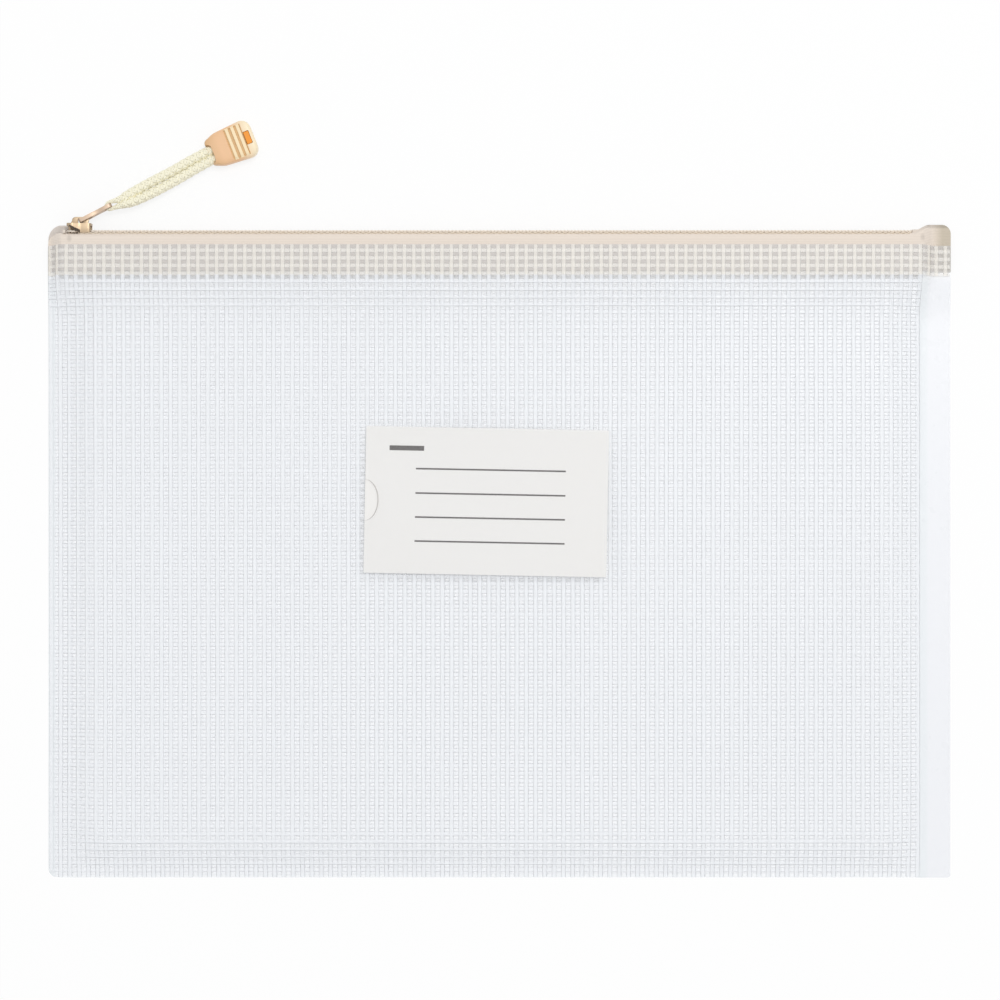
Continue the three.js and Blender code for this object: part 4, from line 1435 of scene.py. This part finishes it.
class FILEBAG_OT_camera(bpy.types.Operator):
    """Sets up the camera straight above the bag"""

    bl_idname = "filebag.camera"
    bl_label = "Camera"

    def execute(self, context):
        camera = bpy.data.cameras.new("camera")
        camera.lens = 100.0
        camera.sensor_width = 36.0
        camera.clip_start = 0.05
        camera.clip_end = 20.0
        holder = new_object("camera", camera)
        holder.location = (0.0002, 0.0204, context.scene.filebag_stage.camera_height)
        context.scene.camera = holder
        return {"FINISHED"}


class FILEBAG_OT_cord(bpy.types.Operator):
    """Braids the doubled cord along its route"""

    bl_idname = "filebag.cord"
    bl_label = "Cord"

    def execute(self, context):
        settings = context.scene.filebag_cord
        braid = yarn_material("braided_cord", settings.cord_color, (1.0, 1.0, 1.0))
        set_shader(braid, {"Roughness": 0.7, "Sheen Weight": 0.2})
        path = smooth_path(cord_guides(), 10)
        cord = line_piece("pull_cord_braid", [tuple(p * MM) for p in path])
        grown(
            cord,
            braid_tree(),
            {
                "Carriers": settings.carriers,
                "Braid Pitch": settings.braid_pitch,
                "Radius": settings.diameter / 2 * 1.1,
                "Material": braid,
                # The core shows between the carriers; its darker colour is painted shade between the
                # strands
                "Core Material": plain_plastic("cord_core", scaled(settings.cord_color, 0.86), 0.8),
            },
        )
        dress(cord, "cord", "pull_cord")
        return {"FINISHED"}


class FILEBAG_OT_sheets(bpy.types.Operator):
    """Makes the two mesh sheets: films with yarns laid on them"""

    bl_idname = "filebag.sheets"
    bl_label = "Mesh sheets"

    def execute(self, context):
        settings = context.scene.filebag_mesh
        color, hides = settings.yarn_color, settings.yarn_opacity
        along_y, along_x = (1.0, 0.06, 1.0), (0.06, 1.0, 1.0)
        down = yarn_material("warp_yarn", color, along_y, hides)
        across = yarn_material("weft_yarn", color, along_x, hides)
        over_tape = yarn_material("header_yarn", settings.header_yarn_color, along_x, hides * 0.9)
        tree = yarn_tree()
        xs = spaced(LEFT, LEFT + 7, 0.7) + spaced(LEFT + 8.4, RIGHT - 18, 2.8)
        xs += spaced(RIGHT - 17, RIGHT, 0.85)
        ys = spaced(BOTTOM_Y, BOTTOM_Y + 4, 0.5) + spaced(BOTTOM_Y + 6, 96, 2.8)
        ys += spaced(98, FILM_EDGE_Y, 2.0)
        start = {"Start": (LEFT + 0.2) * MM}
        header_low = (TAPE_EDGE_Y - 1.4) * MM
        body_down = {"Start": (BOTTOM_Y + 0.3) * MM, "End": header_low}
        header_down = {"Start": header_low, "End": (FILM_EDGE_Y - 0.05) * MM}
        body_across = {**start, "End": (RIGHT - 11.9) * MM}
        header_across = {**start, "End": (RIGHT - 0.4) * MM}
        front_lay = {"Wander": 0.00025, "Wander Scale": 9.0, "Seed": 2.0, "Skew": 0.0}
        back_lay = {"Wander": 0.0006, "Wander Scale": 7.0, "Seed": 11.0, "Skew": 0.0015}
        for side, height, opacity, lay, shift, stretch, drop in (
            ("front", sheet_front, settings.front_opacity, front_lay, 0.0, 0.0, 0.0),
            (
                "back", sheet_back, settings.back_opacity, back_lay,
                BACK_WARP_SHIFT, BACK_WEFT_STRETCH, BACK_WEFT_DROP,
            ),
        ):
            film = film_material(f"{side}_film", settings.film_color, opacity)
            sheet = shell(f"{side}_film", xs, ys, height, film)
            yarn_size = {"Width": settings.yarn_width, "Thickness": settings.yarn_thickness}
            first_warp = (FIRST_WARP + shift) * MM
            warps = {"Along Y": True, "First": first_warp, "Pitch": settings.warp_pitch}
            warps = {**yarn_size, **lay, **warps, "Lift": WARP_LIFT * MM}
            pitch = settings.weft_pitch + stretch * MM
            first = (FIRST_WEFT - drop) * MM
            first_body = first - HEADER_WEFTS * pitch
            wefts = {**yarn_size, **lay, "Along Y": False, "Pitch": -pitch, "Lift": WEFT_LIFT * MM}
            yarns = []
            for label, material, row, count, points, run in (
                ("warp", down, warps, WARPS, 84, body_down),
                ("header_warp", over_tape, warps, HEADER_WARPS, 8, header_down),
                ("weft", across, {**wefts, "First": first_body}, WEFTS, 130, body_across),
                ("header_weft", over_tape, {**wefts, "First": first}, HEADER_WEFTS, 360, header_across),
            ):
                yarn = new_object(f"{side}_{label}", sheet.data.copy())
                lengths = {"Count": count, "Points": points, "Material": material, **run}
                yarns.append(grown(yarn, tree, {**row, **lengths}))
            for piece in (sheet, *yarns):
                dress(piece, "bag")
                piece.visible_shadow = False
                piece.visible_diffuse = False
            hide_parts(f"{side}_panel")
        return {"FINISHED"}


class FILEBAG_OT_zip(bpy.types.Operator):
    """Makes the folded tapes and the two wound coil rows"""

    bl_idname = "filebag.zip"
    bl_label = "Zip tapes and coils"

    def execute(self, context):
        settings = context.scene.filebag_zip

        # Painted shade: the coil darker at its left end, inside the slider's mouth
        def coil_mouth_shade(tree, color, place):
            x, _, _ = parted(tree, place)
            return vector_node(tree, "SCALE", color, between(tree, x, COIL_SHADE, 0.72, 1.0))

        # The back tape's darker colour is painted shade from the front tape
        for (side, name), color in zip(
            ZIP_SIDES, (settings.tape_color, settings.back_tape_shade_color)
        ):
            tape = tape_mesh(f"{name}_tape", side, tape_material(f"{name}_tape_cloth", color))
            dress(tape, "bag", f"zip_tape_{name}")

        filament = plain_plastic(
            "coil_filament", settings.coil_color, 0.4, 0.04, 1500.0, shade=coil_mouth_shade
        )
        winding = coil_tree()
        radius = settings.filament / MM / 2
        half_height = (COIL_OUTER + TOOTH_REACH) / 2 - radius
        middle_y = (COIL_LOW_Y + COIL_HIGH_Y) / 2 - COIL_DROP
        middle_w = (COIL_OUTER - TOOTH_REACH) / 2
        for side, name in ZIP_SIDES:
            half_turn = 0.0 if side > 0 else settings.coil_pitch / MM / 2
            start = COIL_START_X + COIL_INSET + half_turn
            xs = spaced(start, start + 8, 0.4) + spaced(start + 10, COIL_END_X - 1.2, 4)
            spine = [(x, middle_y, CHAIN_HEIGHT + side * (middle_w + row_spread(x))) for x in xs]
            coil = grown(
                line_piece(f"{name}_coil", metres(spine)),
                winding,
                {
                    "Pitch": settings.coil_pitch,
                    "Half Depth": (COIL_HIGH_Y - COIL_LOW_Y) * MM / 2 - settings.filament / 2,
                    "Half Height": side * half_height * MM,
                    "Filament": settings.filament,
                    "Material": filament,
                },
            )
            dress(coil, "bag", f"zip_coil_{name}")

        thread = yarn_material("sewing_thread", settings.thread_color, (0.1, 1.0, 1.0))
        sewing = stitch_tree()
        stitching = {"Pitch": settings.stitch_length, "Material": thread}
        for side, name in ZIP_SIDES:
            seam_z = CHAIN_HEIGHT + side * (COIL_OUTER + SEAM_GAP)
            seam = [(x, SEAM_Y, seam_z) for x in spaced(LEFT + 12, RIGHT - 14, 6)]
            stitches = grown(line_piece(f"{name}_stitches", metres(seam)), sewing, stitching)
            dress(stitches, "bag")
        return {"FINISHED"}


class FILEBAG_OT_metal(bpy.types.Operator):
    """Rounds and plates the slider, the pull and the stops"""

    bl_idname = "filebag.metal"
    bl_label = "Slider, pull and stops"

    def execute(self, context):
        settings = context.scene.filebag_zip
        gold = metal("gold_plate", settings.gold_color, 0.42)
        rose = metal("pull_plate", settings.pull_color, 0.5)
        pale = plain_plastic("stop_plastic", scaled(settings.tape_color, 0.92), 0.6)
        for node, name, body, slot, material, width, place in (
            ("slider_body", "slider", "slider", "gold_metal", gold, 0.3, slider_place),
            ("pull_tab", "pull", "pull", "pull_metal", rose, 0.3, None),
            ("top_stop_front", "front_top_stop", "bag", "zip_coil", pale, 0.15, drop_place),
            ("top_stop_back", "back_top_stop", "bag", "zip_coil", pale, 0.15, drop_place),
            ("bottom_stop", "end_clip", "bag", "zip_coil", pale, 0.3, clip_place),
        ):
            piece = bevelled_copy(node, name, material, width, place=place)
            dress(piece, body, node)
        # A dark strip over the mouth: painted shade inside the slider
        painted_shade = plain_plastic("mouth_shade", (0.24, 0.18, 0.12), 0.6)
        dress(mouth_shade_mesh("slider_mouth_shade", painted_shade), "slider")
        return {"FINISHED"}


class FILEBAG_OT_tag(bpy.types.Operator):
    """Moulds the tag and its insert"""

    bl_idname = "filebag.tag"
    bl_label = "Tag"

    def execute(self, context):
        settings = context.scene.filebag_cord

        # Paints shade at the tag's mouth and a highlight at its free end
        def tag_end_light(tree, color, place):
            middle = sum(c * a for c, a in zip(TAG_CENTRE, TAG_ALONG)) * MM
            run = vector_node(tree, "DOT_PRODUCT", place, TAG_ALONG)
            for low, high, before, after, end_paint in (
                (-0.0090, -0.0040, 0.8, 0.0, settings.tag_mouth_shade_color),
                (0.0015, 0.0075, 0.0, 0.85, settings.tag_end_highlight_color),
            ):
                share = remap(tree, run, middle + low, middle + high, before, after)
                color = mixed(tree, share, color, linear(end_paint))
            return color

        peach = plain_plastic("tag_plastic", settings.tag_color, 0.38, shade=tag_end_light)
        # Painted shade for the grooves and a painted highlight for the ridges of one moulded plastic
        groove_shade = plain_plastic("tag_groove_shade", settings.tag_groove_shade_color, 0.5)
        ridge = plain_plastic("tag_ridge_highlight", settings.tag_ridge_highlight_color, 0.4)
        orange = plain_plastic("insert_plastic", settings.insert_color, 0.35)
        dress(tag_mesh("tag", peach, groove_shade, ridge), "cord", "tag_shell")
        insert = insert_mesh("tag_window_insert", orange)
        dress(insert, "cord", "tag_insert")
        return {"FINISHED"}


class FILEBAG_OT_card(bpy.types.Operator):
    """Makes the ruled card and the clear pocket that holds it"""

    bl_idname = "filebag.card"
    bl_label = "Card and pocket"

    def execute(self, context):
        settings = context.scene.filebag_card
        paper = plain_plastic("card_paper", settings.card_color, 0.75, 0.012, 1600.0, 0.2)
        outline = rounded_corners(CARD_LENGTH, CARD_WIDTH + CARD_EXTRA, 0.5)
        block = prism(shifted(outline, 0.0, CARD_EXTRA / 2), CARD_BASE, CARD_TOP)
        dress(block_piece("card", [block], paper, on_card), "card", "index_card")

        ink = plain_plastic("ruled_ink", settings.line_color, 0.6, 0.05, 2500.0)
        rows = [printed(RULED_ENDS, y, settings.line_width / MM) for y in RULED_LINES]
        rows.append(printed(BAR_ENDS, BAR_Y, BAR_WIDTH))
        dress(block_piece("card_lines", rows, ink, on_card), "card")

        clear = plain_plastic("clear_pocket", (0.95, 0.96, 0.975), 0.12, 0.01, 300.0, 0.1)
        pocket = bevelled_copy("card_pocket", "pocket", set_shader(clear, {"Alpha": 0.05}), 0.05, 1)
        dress(pocket, "bag", "card_pocket")

        # A thin grey strip along the thumb notch: painted shade that draws the clear film's cut edge
        notch_shade = plain_plastic("notch_edge_shade", (0.80, 0.785, 0.77), 0.4)
        line = notch_line()
        outline = line + shifted(reversed(line), NOTCH_EDGE_WIDTH, 0.0)
        block = prism(outline, POCKET_TOP - 0.02, POCKET_TOP + 0.02)
        set_shader(notch_shade, {"Alpha": 0.55})
        notch = block_piece("pocket_notch_edge", [block], notch_shade, on_card)
        dress(notch, "bag")
        return {"FINISHED"}


def seen_straight(tree):
    """1 for rays that show the background, directly or by way of metal or glass."""
    path = tree.nodes.new("ShaderNodeLightPath").outputs
    seen = math_node(tree, "MAXIMUM", path["Is Camera Ray"], path["Is Glossy Ray"])
    return math_node(tree, "MAXIMUM", seen, path["Is Transmission Ray"])


class FILEBAG_OT_stage(bpy.types.Operator):
    """Lays the floor and sets the lamps"""

    bl_idname = "filebag.stage"
    bl_label = "Stage"

    def execute(self, context):
        settings = context.scene.filebag_stage
        half, level = 2000.0, -0.1
        corners = [(-half, -half), (half, -half), (half, half), (-half, half)]
        material = bpy.data.materials.new("floor")
        material.use_nodes = True
        tree = material.node_tree
        tree.nodes.clear()
        matt = made(tree, "ShaderNodeBsdfDiffuse", {"Color": (*linear(settings.floor_color), 1)})
        bright = made(tree, "ShaderNodeEmission", {"Strength": 1.0})
        share = math_node(tree, "MULTIPLY", seen_straight(tree), 0.8)
        both = made(tree, "ShaderNodeMixShader", {0: share, 1: matt, 2: bright})
        add_node(tree, "ShaderNodeOutputMaterial", {0: both})
        points = [(x, y, level) for x, y in corners]
        mesh_piece("floor", points, [(0, 1, 2, 3)], material, smooth=False)

        world = bpy.data.worlds.new("studio")
        world.use_nodes = True
        tree = world.node_tree
        tree.nodes.clear()
        strength = remap(tree, seen_straight(tree), 0.0, 1.0, settings.sky_strength, 1.0)
        look = {"Color": (0.98, 0.99, 1.0, 1), "Strength": strength}
        add_node(tree, "ShaderNodeOutputWorld", {0: made(tree, "ShaderNodeBackground", look)})
        context.scene.world = world

        lamp = bpy.data.lights.new("key_lamp", "AREA")
        lamp.shape = "DISK"
        lamp.size = 1.0
        lamp.energy = settings.key_power
        lamp.color = (1.0, 0.99, 0.975)
        holder = new_object("key_lamp", lamp)
        holder.location = (0.55, 0.95, 2.85)
        holder.rotation_euler = (-holder.location).to_track_quat("-Z", "Y").to_euler()
        context.scene.view_settings.view_transform = "Standard"
        context.scene.cycles.transparent_max_bounces = 24
        return {"FINISHED"}


class FILEBAG_PT_panel(bpy.types.Panel):
    """Lists the steps that build the bag"""

    bl_label = "File Bag"
    bl_idname = "FILEBAG_PT_panel"
    bl_space_type = "VIEW_3D"
    bl_region_type = "UI"
    bl_category = "File Bag"

    def draw(self, context):
        for operator in OPERATORS:
            self.layout.operator(operator.bl_idname)


SETTINGS = {
    "filebag_mesh": FileBagMesh,
    "filebag_zip": FileBagZip,
    "filebag_cord": FileBagCord,
    "filebag_card": FileBagCard,
    "filebag_stage": FileBagStage,
}
OPERATORS = (
    FILEBAG_OT_camera,
    FILEBAG_OT_cord,
    FILEBAG_OT_sheets,
    FILEBAG_OT_zip,
    FILEBAG_OT_metal,
    FILEBAG_OT_tag,
    FILEBAG_OT_card,
    FILEBAG_OT_stage,
)


def register():
    for group in (*SETTINGS.values(), *OPERATORS, FILEBAG_PT_panel):
        bpy.utils.register_class(group)
    for name, group in SETTINGS.items():
        setattr(bpy.types.Scene, name, PointerProperty(type=group))


def unregister():
    for name in SETTINGS:
        delattr(bpy.types.Scene, name)
    for group in (FILEBAG_PT_panel, *reversed(OPERATORS), *reversed(SETTINGS.values())):
        bpy.utils.unregister_class(group)


def main():
    register()
    for operator in OPERATORS:
        family, step = operator.bl_idname.split(".")
        getattr(getattr(bpy.ops, family), step)()


if __name__ == "__main__":
    main()
